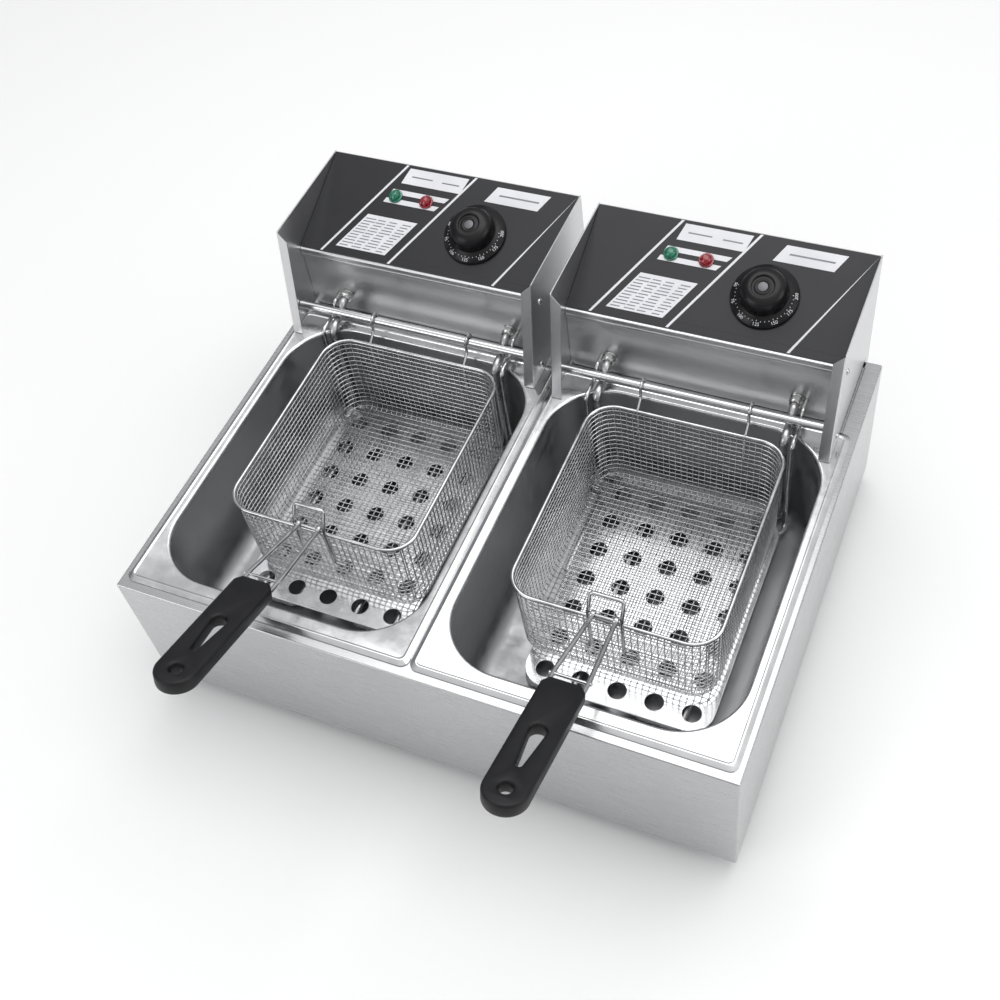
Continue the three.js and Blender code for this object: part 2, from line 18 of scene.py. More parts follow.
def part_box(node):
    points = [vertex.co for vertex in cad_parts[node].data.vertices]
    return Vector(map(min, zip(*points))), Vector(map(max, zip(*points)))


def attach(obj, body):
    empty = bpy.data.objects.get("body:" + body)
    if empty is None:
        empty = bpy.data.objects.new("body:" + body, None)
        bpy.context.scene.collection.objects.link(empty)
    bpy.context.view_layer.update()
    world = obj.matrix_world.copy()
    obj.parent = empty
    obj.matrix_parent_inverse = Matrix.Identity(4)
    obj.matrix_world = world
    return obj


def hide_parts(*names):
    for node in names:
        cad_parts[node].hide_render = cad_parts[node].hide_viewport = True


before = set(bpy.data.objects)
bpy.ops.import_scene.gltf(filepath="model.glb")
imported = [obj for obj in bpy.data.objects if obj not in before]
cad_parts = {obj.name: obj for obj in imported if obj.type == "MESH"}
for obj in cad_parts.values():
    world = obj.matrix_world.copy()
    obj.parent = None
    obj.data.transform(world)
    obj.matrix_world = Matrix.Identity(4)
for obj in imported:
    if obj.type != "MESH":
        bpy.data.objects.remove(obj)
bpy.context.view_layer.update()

LOG = logging.getLogger("fryer")
MM = 0.001
Point = tuple[float, float, float]
Flat = tuple[float, float]
Tree = bpy.types.NodeTree
Socket = bpy.types.NodeSocket
Shader = bpy.types.Node
Mesh = bmesh.types.BMesh

# The middle of the rod that a basket hangs on, behind the casing's front edge and above its bottom edge.
ROD_Y = 337.0
ROD_Z = 167.0


# ---------------------------------------------------------------- finishes


def linear(hex_colour: str) -> tuple[float, float, float, float]:
    """Turns an sRGB hex colour into linear light.

    Args:
        hex_colour: six hex digits, such as "c8c9ca".

    Returns:
        Red, green, blue and an alpha of one.
    """
    channels = [int(hex_colour[i : i + 2], 16) / 255 for i in (0, 2, 4)]
    bright = [c / 12.92 if c <= 0.04045 else ((c + 0.055) / 1.055) ** 2.4 for c in channels]
    return (bright[0], bright[1], bright[2], 1.0)


def add_node(tree: Tree, kind: str, settings: dict | None = None, inputs: dict | None = None) -> Shader:
    """Adds one shader node.

    Args:
        tree: the node tree it joins.
        kind: the node's type name.
        settings: properties of the node.
        inputs: a value or an output socket for each named or numbered input.

    Returns:
        The new node.
    """
    made = tree.nodes.new(kind)
    for key, value in (settings or {}).items():
        setattr(made, key, value)
    for key, value in (inputs or {}).items():
        if isinstance(value, Socket):
            tree.links.new(value, made.inputs[key])
        else:
            made.inputs[key].default_value = value
    return made


class Grain(Enum):
    """The way a sheet was brushed, as how finely the pattern repeats along X, Y and Z."""

    ACROSS = (0.02, 1.0, 1.0)
    DEEP = (1.0, 0.02, 1.0)
    UPRIGHT = (1.0, 1.0, 0.02)
    NONE = (1.0, 1.0, 1.0)


@dataclass(frozen=True)
class Finish:
    """What every finish has: a name, a colour and a material made once.

    Attributes:
        name: what the material is called.
        colour: sRGB hex.
        roughness: middle roughness.
    """

    name: str
    colour: str
    roughness: float

    def material(self) -> bpy.types.Material:
        """Returns the finish's material, made on its first use."""
        found = bpy.data.materials.get(self.name)
        if found:
            return found
        made = bpy.data.materials.new(self.name)
        made.use_nodes = True
        tree = made.node_tree
        tree.nodes.clear()
        shader = add_node(tree, "ShaderNodeBsdfPrincipled", inputs={"Base Color": linear(self.colour)})
        shader.inputs["Roughness"].default_value = self.roughness
        add_node(tree, "ShaderNodeOutputMaterial", inputs={"Surface": shader.outputs["BSDF"]})
        self.dress(tree, shader)
        return made

    def dress(self, tree: Tree, shader: Shader) -> None:
        """Adds what sets this finish apart. The plain finish adds nothing."""

    def grained(self, tree: Tree, per_metre: float, grain: Grain, detail: float) -> Shader:
        """Adds a noise pattern in the piece's own metres.

        Args:
            tree: the node tree it joins.
            per_metre: how many spots or lines fall on a metre.
            grain: the way the pattern is drawn out.
            detail: octaves of noise.

        Returns:
            The noise node.
        """
        place = add_node(tree, "ShaderNodeTexCoord")
        scale = tuple(per_metre * share for share in grain.value)
        drawn = {"Vector": place.outputs["Object"], "Scale": scale}
        turn = add_node(tree, "ShaderNodeMapping", inputs=drawn)
        settings = {"Vector": turn.outputs["Vector"], "Scale": 1.0, "Detail": detail, "Roughness": 0.6}
        return add_node(tree, "ShaderNodeTexNoise", inputs=settings)

    def span(self, tree: Tree, value: Socket, low: float, high: float) -> Socket:
        """Maps the useful middle of a noise onto a range.

        Args:
            tree: the node tree it joins.
            value: a noise from 0 to 1.
            low: the result at the noise's dark spots.
            high: the result at its bright spots.

        Returns:
            The mapped value's socket.
        """
        inputs = {"Value": value, "From Min": 0.3, "From Max": 0.7, "To Min": low, "To Max": high}
        return add_node(tree, "ShaderNodeMapRange", inputs=inputs).outputs["Result"]

    def tint(self, tree: Tree, value: Socket, dark: str, bright: str) -> Socket:
        """Mixes two colours by a noise.

        Args:
            tree: the node tree it joins.
            value: the share of the bright colour.
            dark: sRGB hex at 0.
            bright: sRGB hex at 1.

        Returns:
            The mixed colour's socket.
        """
        mix = add_node(tree, "ShaderNodeMix", {"data_type": "RGBA"}, {"Factor": value})
        mix.inputs[6].default_value = linear(dark)
        mix.inputs[7].default_value = linear(bright)
        return mix.outputs[2]

    def bump(self, tree: Tree, shader: Shader, height: Socket, depth_mm: float) -> None:
        """Raises the surface by a height pattern that is depth_mm deep."""
        inputs = {"Height": height, "Distance": depth_mm * MM, "Strength": 1.0}
        made = add_node(tree, "ShaderNodeBump", inputs=inputs)
        tree.links.new(made.outputs["Normal"], shader.inputs["Normal"])


@dataclass(frozen=True)
class BrushedSteel(Finish):
    """Stainless sheet with a belt-brushed face: long soft streaks that blur what it reflects one way.

    Attributes:
        grain: which way the belt ran.
        dark: sRGB hex of the duller patches that handling leaves.
        line_mm: spacing of the streaks. A real belt leaves 0.1 mm, drawn here as coarse as shows.
        depth_mm: depth of the streaks.
        cloudy: share of the patches in the sheet's unevenness, against its streaks.
    """

    grain: Grain = Grain.ACROSS
    dark: str = "c6c7c8"
    line_mm: float = 1.1
    depth_mm: float = 0.0014
    cloudy: float = 0.35

    def dress(self, tree: Tree, shader: Shader) -> None:
        """Streaks in roughness and bump, with faint cloudy patches in the colour."""
        shader.inputs["Metallic"].default_value = 1.0
        streaks = self.grained(tree, 1000 / self.line_mm, self.grain, 3.0)
        clouds = self.grained(tree, 14.0, Grain.NONE, 2.0)
        shares = {"Factor": self.cloudy, "A": streaks.outputs["Fac"], "B": clouds.outputs["Fac"]}
        both = add_node(tree, "ShaderNodeMix", {"data_type": "FLOAT"}, shares)
        value = both.outputs["Result"]
        rough = self.span(tree, value, self.roughness * 0.88, self.roughness * 1.14)
        tree.links.new(rough, shader.inputs["Roughness"])
        share = self.span(tree, value, 0.0, 1.0)
        tree.links.new(self.tint(tree, share, self.dark, self.colour), shader.inputs["Base Color"])
        self.bump(tree, shader, streaks.outputs["Fac"], self.depth_mm)


@dataclass(frozen=True)
class DrawnSteel(Finish):
    """Bright steel as it leaves the drawing die or the plating bath: mirror-like, with a faint orange peel.

    Attributes:
        dark: sRGB hex of the duller spots.
        peel_mm: size of the orange peel.
        depth_mm: depth of the orange peel.
    """

    dark: str = "c2c3c4"
    peel_mm: float = 6.0
    depth_mm: float = 0.01

    def dress(self, tree: Tree, shader: Shader) -> None:
        """Soft waves in the bump, and spots that vary the roughness and colour."""
        shader.inputs["Metallic"].default_value = 1.0
        peel = self.grained(tree, 1000 / self.peel_mm, Grain.NONE, 2.0)
        spots = self.grained(tree, 60.0, Grain.NONE, 4.0)
        rough = self.span(tree, spots.outputs["Fac"], self.roughness * 0.7, self.roughness * 1.4)
        tree.links.new(rough, shader.inputs["Roughness"])
        share = self.span(tree, spots.outputs["Fac"], 0.0, 1.0)
        tree.links.new(self.tint(tree, share, self.dark, self.colour), shader.inputs["Base Color"])
        self.bump(tree, shader, peel.outputs["Fac"], self.depth_mm)


@dataclass(frozen=True)
class Moulded(Finish):
    """A moulded plastic or rubber: the mould's fine texture, with slightly polished high spots.

    Attributes:
        worn: sRGB hex of the handled spots.
        texture_mm: size of the mould texture, drawn coarse enough to show.
        depth_mm: depth of the texture.
    """

    worn: str = "2b2b2d"
    texture_mm: float = 0.9
    depth_mm: float = 0.03

    def dress(self, tree: Tree, shader: Shader) -> None:
        """Fine bump, and a colour and gloss that change a little with handling."""
        shader.inputs["Specular IOR Level"].default_value = 0.3
        grit = self.grained(tree, 1000 / self.texture_mm, Grain.NONE, 2.0)
        wear = self.grained(tree, 45.0, Grain.NONE, 3.0)
        rough = self.span(tree, wear.outputs["Fac"], self.roughness * 0.85, self.roughness * 1.2)
        tree.links.new(rough, shader.inputs["Roughness"])
        share = self.span(tree, wear.outputs["Fac"], 0.0, 1.0)
        tree.links.new(self.tint(tree, share, self.colour, self.worn), shader.inputs["Base Color"])
        self.bump(tree, shader, grit.outputs["Fac"], self.depth_mm)


@dataclass(frozen=True)
class PrintedFilm(Finish):
    """Screen-printed polyester film on the panel: flat colour under a satin top coat with tiny pits.

    Attributes:
        faded: sRGB hex of the paler patches.
        coat: weight of the top coat.
    """

    faded: str = "3a3a3f"
    coat: float = 0.25

    def dress(self, tree: Tree, shader: Shader) -> None:
        """A slight mottle in the ink, and pits in the coat."""
        shader.inputs["Specular IOR Level"].default_value = 0.3
        shader.inputs["Coat Weight"].default_value = self.coat
        shader.inputs["Coat Roughness"].default_value = 0.18
        ink = self.grained(tree, 30.0, Grain.NONE, 5.0)
        pits = self.grained(tree, 1400.0, Grain.NONE, 1.0)
        share = self.span(tree, ink.outputs["Fac"], 0.0, 1.0)
        tree.links.new(self.tint(tree, share, self.colour, self.faded), shader.inputs["Base Color"])
        rough = self.span(tree, ink.outputs["Fac"], self.roughness * 0.9, self.roughness * 1.15)
        tree.links.new(rough, shader.inputs["Roughness"])
        self.bump(tree, shader, pits.outputs["Fac"], 0.006)


@dataclass(frozen=True)
class LampLens(Finish):
    """Tinted acrylic lens: clear colour that glows where light passes through its facets.

    Attributes:
        deep: sRGB hex of the thicker middle.
    """

    deep: str = "0a4a30"

    def dress(self, tree: Tree, shader: Shader) -> None:
        """Part clear, with a colour that clouds a little inside."""
        shader.inputs["Transmission Weight"].default_value = 0.35
        shader.inputs["IOR"].default_value = 1.49
        shader.inputs["Coat Weight"].default_value = 0.6
        shader.inputs["Coat Roughness"].default_value = 0.05
        cloud = self.grained(tree, 420.0, Grain.NONE, 2.0)
        share = self.span(tree, cloud.outputs["Fac"], 0.0, 1.0)
        tree.links.new(self.tint(tree, share, self.deep, self.colour), shader.inputs["Base Color"])
        rough = self.span(tree, cloud.outputs["Fac"], self.roughness * 0.7, self.roughness * 1.5)
        tree.links.new(rough, shader.inputs["Roughness"])


# The belt ran across the sheet, so lights above smear into soft level bands.
CASING_STEEL = BrushedSteel("brushed_casing_steel", "c4c5c6", 0.27, Grain.ACROSS, dark="b9babb")
# The same sheet brushed front to back: its streaks turn with the bar.
BAR_STEEL = BrushedSteel("brushed_bar_steel", "c4c5c6", 0.27, Grain.DEEP, dark="b9babb")
# A finer belt: a smooth pale face where only cloudy patches of light and dark show.
HEAD_STEEL = BrushedSteel("brushed_head_steel", "cecfd0", 0.3, dark="cacbcc", depth_mm=0.0004, cloudy=0.7)
# Brushed upright, so the side plates catch an upright glint and look flatter than the face. Their colour,
# paler than the same steel on the head's face, is painted light that makes the front strips read bright.
SIDE_STEEL_PAINTED_LIGHT = BrushedSteel("brushed_head_side_steel_painted_light", "d6d7d8", 0.34, Grain.UPRIGHT, dark="ccccce")
# A broad, blurred mirror that darkens down the pan's walls. Its grey, much darker than the brim's steel, is
# painted shade for the inside of the deep pan.
PAN_STEEL_PAINTED_SHADE = DrawnSteel("deep_drawn_pan_steel_painted_shade", "acadaf", 0.4, dark="a6a7a9", depth_mm=0.002, peel_mm=16.0)
# The flange was buffed after drawing, so it flashes bright along its bends.
BRIM_STEEL = DrawnSteel("polished_brim_steel", "dcddde", 0.2, dark="d0d1d2", depth_mm=0.001, peel_mm=16.0)
# Buffed plate with rolled holes: each hole shows a bright ring round a dark middle.
GUARD_STEEL = DrawnSteel("polished_guard_steel", "e6e7e8", 0.17, dark="dadbdc", depth_mm=0.004, peel_mm=9.0)
# Electropolished wire: thin white glints that break where the wires cross.
WIRE_STEEL = DrawnSteel("bright_basket_wire", "d8d9da", 0.14, dark="b0b1b3", peel_mm=3.0, depth_mm=0.006)
# Nickel plate over turned brass: small sharp highlights on nuts and screws.
PLATED = DrawnSteel("nickel_plated_fitting", "dcdcdb", 0.16, dark="b4b4b3", peel_mm=2.0, depth_mm=0.002)
# A stamped disc gone dull in the heat of the kitchen: a mid grey spot on the black knob.
BADGE_STEEL = DrawnSteel("dulled_knob_badge", "77777a", 0.45, dark="69696c", peel_mm=2.0, depth_mm=0.002)
# Drawn sheath, heated many times: a satin tube with a soft line of light along it.
SHEATH = DrawnSteel("satin_element_sheath", "c6c6c6", 0.28, dark="aeaeae", peel_mm=5.0, depth_mm=0.004)
# Hot-dip zinc: cool grey with blunt crystal patches that tell it from the stainless.
ZINC = DrawnSteel("zinc_coated_sheet", "a5a9ab", 0.42, dark="8b8f92", peel_mm=14.0, depth_mm=0.01)
# Black ink under a satin film: a flat near-black that greys a little towards the light.
FILM = PrintedFilm("black_printed_film", "1c1c20", 0.42, faded="222226", coat=0.08)
# Screen-printed white on the same film: clean pale stripes without gloss.
WHITE_INK = PrintedFilm("white_printed_ink", "dedee2", 0.45, faded="d2d2d6", coat=0.1)
# Grey ink for the rules: quiet rows that read as small print from afar.
GREY_INK = PrintedFilm("grey_printed_ink", "6f6f76", 0.45, faded="85858b", coat=0.1)
# Compression-moulded phenolic from a polished mould: deep black with long soft highlights.
KNOB_BLACK = Moulded("knob_black_phenolic", "0c0c0e", 0.3, worn="131315", texture_mm=0.7, depth_mm=0.006)
# The same phenolic from a sparked mould: a matt black that spreads its highlights.
GRIP_BLACK = Moulded("grip_black_phenolic", "0f0f11", 0.44, worn="17171a", depth_mm=0.02)
# Moulded rubber: dusty near-black without a highlight.
RUBBER = Moulded("foot_black_rubber", "1b1b1c", 0.75, worn="2a2a2a", depth_mm=0.05)
# Glossy moulded nylon, coloured through: a clear red dot at the back.
RED_PLASTIC = Moulded("button_red_plastic", "a3161b", 0.3, worn="b3262a", depth_mm=0.008)
# Moulded switch housings: warm cream with a dull face.
CREAM_PLASTIC = Moulded("switch_cream_plastic", "d6cfba", 0.5, worn="c9c1aa", depth_mm=0.02)
# Moulded acrylic: facets pick up small flashes over a darker green inside.
GREEN_LENS = LampLens("green_lamp_lens", "1f9a78", 0.12, deep="0b5c45")
# The same lens in red, with a wine-coloured middle.
RED_LENS = LampLens("red_lamp_lens", "bb1a30", 0.12, deep="6c0915")
# Matt backdrop paper: no pattern, so that it takes nothing from the object.
PAPER = Finish("pale_studio_floor", "f4f4f4", 0.7)


# ---------------------------------------------------------------- shaping


@dataclass(frozen=True)
class Seat:
    """Where drawn millimetres land in the frame.

    Attributes:
        x: the unit's middle, in metres.
        y: the casing's front edge as this unit sees it, in metres.
        z: the casing's bottom edge, in metres.
    """

    x: float
    y: float
    z: float

    def matrix(self) -> Matrix:
        """Returns the matrix from drawn millimetres to the frame's metres."""
        return Matrix.Translation((self.x, self.y, self.z)) @ Matrix.Diagonal((MM, MM, MM, 1.0))


@dataclass(frozen=True)
class Making:
    """How a finished mesh joins the object.

    Attributes:
        seat: where its millimetres land.
        body: the body it moves with.
        slot: the record's material slot. Not used.
        finish: its finish.
    """

    seat: Seat
    body: str
    slot: str
    finish: Finish

    def settle(
        self, bm: Mesh, name: str, replaces: Sequence[str] = (), sharp: float = 40.0, weighted: bool = False
    ) -> bpy.types.Object:
        """Turns a drawn mesh into a piece of the object.

        Args:
            bm: the mesh, in its seat's millimetres. It is freed.
            name: the piece's name.
            replaces: the frame's nodes that it stands for.
            sharp: edges that turn more than this many degrees stay crisp.
            weighted: whether big faces keep their flat shading next to eased edges.

        Returns:
            The piece.
        """
        bmesh.ops.transform(bm, matrix=self.seat.matrix(), verts=bm.verts[:])
        mesh = bpy.data.meshes.new(name)
        bm.to_mesh(mesh)
        bm.free()
        mesh.shade_smooth()
        mesh.set_sharp_from_angle(angle=math.radians(sharp))
        mesh.materials.append(self.finish.material())
        piece = bpy.data.objects.new(name, mesh)
        bpy.context.scene.collection.objects.link(piece)
        if weighted:
            modifier = piece.modifiers.new("flat_faces", "WEIGHTED_NORMAL")
            modifier.keep_sharp = True
            modifier.weight = 100
        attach(piece, self.body)
        if replaces:
            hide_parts(*replaces)
        LOG.info("%s: %d faces on %s", name, len(mesh.polygons), self.body)
        return piece


def faces_of(geometry: Iterable) -> list[bmesh.types.BMFace]:
    """Returns the faces in an operator's result."""
    return [item for item in geometry if isinstance(item, bmesh.types.BMFace)]


def verts_of(geometry: Iterable) -> list[bmesh.types.BMVert]:
    """Returns the vertices in an operator's result."""
    return [item for item in geometry if isinstance(item, bmesh.types.BMVert)]


def ease(bm: Mesh, width: float, segments: int = 2, above: float = 30.0) -> None:
    """Rounds every edge that turns more than a given angle.

    Args:
        bm: the mesh.
        width: the round's width in millimetres.
        segments: steps in the round.
        above: the least turn, in degrees.
    """
    limit = math.radians(above)
    edges = [e for e in bm.edges if len(e.link_faces) == 2 and e.calc_face_angle(0.0) > limit]
    bmesh.ops.bevel(
        bm, geom=edges, offset=width, offset_type="OFFSET", segments=segments, profile=0.5,
        affect="EDGES", clamp_overlap=True, material=-1, loop_slide=True,
    )


def block(bm: Mesh, low: Point, high: Point) -> None:
    """Adds a box from its lowest corner to its highest."""
    size = [b - a for a, b in zip(low, high)]
    middle = Vector([(a + b) / 2 for a, b in zip(low, high)])
    bmesh.ops.create_cube(bm, size=1.0, matrix=Matrix.Translation(middle) @ Matrix.Diagonal((*size, 1.0)))


def bent_sheet(bm: Mesh, line: Sequence[Flat], half: float, thickness: float, bend: float) -> None:
    """Adds a sheet folded along X, from the line of its outer face in Y and Z.

    Args:
        bm: the mesh.
        line: the corners of the outer face. The sheet lies on the line's left.
        half: half the sheet's length along X.
        thickness: the sheet's thickness.
        bend: the outer radius at each fold.
    """
    verts = [bm.verts.new((-half, y, z)) for y, z in line]
    edges = [bm.edges.new(pair) for pair in zip(verts, verts[1:])]
    swept = bmesh.ops.extrude_edge_only(bm, edges=edges)["geom"]
    bmesh.ops.translate(bm, verts=verts_of(swept), vec=(2 * half, 0, 0))
    bmesh.ops.recalc_face_normals(bm, faces=bm.faces[:])
    folds = [e for e in bm.edges if len(e.link_faces) == 2]
    if bend:
        bmesh.ops.bevel(
            bm, geom=folds, offset=bend, offset_type="OFFSET", segments=3, profile=0.5,
            affect="EDGES", clamp_overlap=True, material=-1,
        )
    first = bm.faces[:][0]
    middle = sum((Vector((0, y, z)) for y, z in line), Vector()) / len(line)
    inward = first.normal.dot(first.calc_center_median() - Vector((0, middle.y, middle.z)))
    bmesh.ops.solidify(bm, geom=bm.faces[:], thickness=thickness if inward > 0 else -thickness)
    bmesh.ops.recalc_face_normals(bm, faces=bm.faces[:])


def plate(
    outline: Sequence[Flat], holes: Sequence[Sequence[Flat]], low: float, high: float, edge: float
) -> Mesh:
    """Makes a flat plate with holes and rounded edges from a filled curve.

    Args:
        outline: the plate's outline in X and Y.
        holes: the outline of each hole.
        low: the underside's height.
        high: the top's height.
        edge: the radius of its edges.

    Returns:
        The plate as a mesh.
    """
    curve = bpy.data.curves.new("plate", "CURVE")
    curve.dimensions = "2D"
    curve.fill_mode = "BOTH"
    curve.extrude = (high - low) / 2 - edge
    curve.bevel_depth = edge
    curve.bevel_resolution = 2
    curve.offset = -edge
    for points in [outline, *holes]:
        spline = curve.splines.new("POLY")
        spline.points.add(len(points) - 1)
        spline.use_cyclic_u = True
        for target, (x, y) in zip(spline.points, points):
            target.co = (x, y, 0, 1)
    holder = bpy.data.objects.new("plate", curve)
    bpy.context.scene.collection.objects.link(holder)
    bpy.context.view_layer.update()
    mesh = bpy.data.meshes.new_from_object(holder)
    bm = bmesh.new()
    bm.from_mesh(mesh)
    bpy.data.objects.remove(holder)
    bpy.data.meshes.remove(mesh)
    bpy.data.curves.remove(curve)
    bmesh.ops.remove_doubles(bm, verts=bm.verts[:], dist=1e-3)
    bmesh.ops.recalc_face_normals(bm, faces=bm.faces[:])
    bmesh.ops.translate(bm, verts=bm.verts[:], vec=(0, 0, (low + high) / 2))
    return bm


def arc(centre: Flat, radius: float, start: float, end: float, steps: int) -> list[Flat]:
    """Returns points on an arc, from its start to its end angle in degrees."""
    angles = [math.radians(start + (end - start) * i / steps) for i in range(steps + 1)]
    return [(centre[0] + radius * math.cos(a), centre[1] + radius * math.sin(a)) for a in angles]


def circle(centre: Flat, radius: float, steps: int = 32) -> list[Flat]:
    """Returns points on a whole circle."""
    return arc(centre, radius, 0, 360, steps)[:-1]


def rounded(
    half_x: float, half_y: float, radius: float, middle_y: float = 0.0, steps: int = 8
) -> list[Flat]:
    """Returns the outline of a rectangle with round corners.

    Args:
        half_x: half its width.
        half_y: half its depth.
        radius: its corners' radius.
        middle_y: the middle of its depth.
        steps: steps in each corner.
    """
    a, b = half_x - radius, half_y - radius
    corners = [(a, b, 0), (-a, b, 90), (-a, -b, 180), (a, -b, 270)]
    return [p for x, y, turn in corners for p in arc((x, middle_y + y), radius, turn, turn + 90, steps)]


def lathe(
    bm: Mesh, profile: Sequence[Flat], steps: int = 48, place: Matrix | None = None
) -> list[bmesh.types.BMVert]:
    """Spins a profile of radius and height about Z.

    Args:
        bm: the mesh.
        profile: points of radius and height. A radius of 0 makes a closed pole.
        steps: sides of the round.
        place: where it goes.

    Returns:
        The new vertices.
    """
    before = set(bm.verts)
    verts = [bm.verts.new((r, 0, h)) for r, h in profile]
    edges = [bm.edges.new(pair) for pair in zip(verts, verts[1:])]
    bmesh.ops.spin(
        bm, geom=[*verts, *edges], cent=(0, 0, 0), axis=(0, 0, 1), angle=2 * math.pi, steps=steps,
        use_merge=True, use_duplicate=False,
    )
    made = [v for v in bm.verts if v not in before]
    bmesh.ops.remove_doubles(bm, verts=made, dist=1e-4)
    made = [v for v in bm.verts if v not in before]
    faces = list({f for v in made for f in v.link_faces})
    bmesh.ops.recalc_face_normals(bm, faces=faces)
    if place:
        bmesh.ops.transform(bm, matrix=place, verts=made)
    return made


@dataclass
class Wire:
    """A round wire or tube that is bent round corners.

    Attributes:
        radius: half its thickness.
        sides: sides of its round section.
        bend: radius of its centre line at each corner.
        steps: steps in a quarter turn.
    """

    radius: float
    sides: int = 12
    bend: float = 6.0
    steps: int = 6

    def draw(self, bm: Mesh, corners: Sequence[Point], closed: bool = False) -> None:
        """Adds the wire to a mesh.

        Args:
            bm: the mesh.
            corners: where its straight runs would meet.
            closed: whether the last point meets the first, in the middle of a straight run.
        """
        points = [Vector(c) for c in corners]
        at = points[0]
        towards = (points[1] - at).normalized()
        turn = towards.to_track_quat("Z", "Y").to_matrix().to_4x4()
        before = set(bm.verts)
        start = Matrix.Translation(at) @ turn
        circle_made = bmesh.ops.create_circle(
            bm, cap_ends=False, segments=self.sides, radius=self.radius, matrix=start
        )
        ring = circle_made["verts"]
        edges = list({e for v in ring for e in v.link_edges})
        first = edges
        for i in range(1, len(points)):
            run = points[i] - points[i - 1]
            into = run.normalized()
            length = (points[i] - at).length
            last = i == len(points) - 1
            out = into if last else (points[i + 1] - points[i]).normalized()
            angle = into.angle(out) if not last else 0.0
            tangent = self.bend * math.tan(angle / 2)
            edges = self.straight(bm, edges, into * (length - tangent))
            if last:
                break
            at = points[i] - into * tangent
            if angle > 1e-3:
                axis = into.cross(out).normalized()
                centre = at + axis.cross(into) * self.bend
                steps = max(2, round(self.steps * angle / (math.pi / 2)))
                geometry = [*edges, *{v for e in edges for v in e.verts}]
                spun = bmesh.ops.spin(
                    bm, geom=geometry, cent=centre, axis=axis, angle=angle, steps=steps,
                    use_merge=False, use_duplicate=False,
                )
                edges = [e for e in spun["geom_last"] if isinstance(e, bmesh.types.BMEdge)]
                at = points[i] + out * tangent
        made = [v for v in bm.verts if v not in before]
        if closed:
            bmesh.ops.remove_doubles(bm, verts=made, dist=self.radius / 50)
        else:
            for end in (first, edges):
                bmesh.ops.contextual_create(bm, geom=end)
        made = [v for v in bm.verts if v not in before]
        bmesh.ops.recalc_face_normals(bm, faces=list({f for v in made for f in v.link_faces}))

    @staticmethod
    def straight(bm: Mesh, edges: list, vector: Vector) -> list:
        """Pulls a ring of edges along a vector and returns the new ring."""
        pulled = bmesh.ops.extrude_edge_only(bm, edges=edges)["geom"]
        bmesh.ops.translate(bm, verts=verts_of(pulled), vec=vector)
        return [e for e in pulled if isinstance(e, bmesh.types.BMEdge) and e.is_boundary]


@dataclass(frozen=True)
class Station:
    """One level outline of a pressed pan.

    Attributes:
        half_x: half its width.
        half_y: half its depth.
        middle_y: the middle of its depth.
        radius: its corners' radius.
        z: its height.
    """

    half_x: float
    half_y: float
    middle_y: float
    radius: float
    z: float


def pressed(bm: Mesh, stations: Sequence[Station], steps: int = 14) -> None:
    """Bridges a row of level outlines into one closed body, filled at its first and last outline.

    Args:
        bm: the mesh.
        stations: the outlines, in order.
        steps: steps in each corner.
    """
    loops = []
    for s in stations:
        verts = bmesh.ops.create_circle(bm, cap_ends=True, segments=4, radius=math.sqrt(2))["verts"]
        turn = Matrix.Rotation(math.radians(45), 4, "Z")
        grow = Matrix.Diagonal((s.half_x, s.half_y, 1.0, 1.0))
        place = Matrix.Translation((0, s.middle_y, s.z)) @ grow @ turn
        bmesh.ops.transform(bm, matrix=place, verts=verts)
        made = bmesh.ops.bevel(
            bm, geom=verts, offset=s.radius, offset_type="OFFSET", segments=steps, profile=0.5,
            affect="VERTICES", clamp_overlap=False, material=-1,
        )
        face = max(faces_of({f for v in made["verts"] for f in v.link_faces}), key=lambda f: len(f.verts))
        loops.append(list(face.edges))
        if s in (stations[0], stations[-1]):
            continue
        bmesh.ops.delete(bm, geom=[face], context="FACES_ONLY")
    for upper, lower in zip(loops, loops[1:]):
        bmesh.ops.bridge_loops(bm, edges=[*upper, *lower])
    bmesh.ops.recalc_face_normals(bm, faces=bm.faces[:])


# ---------------------------------------------------------------- the casing


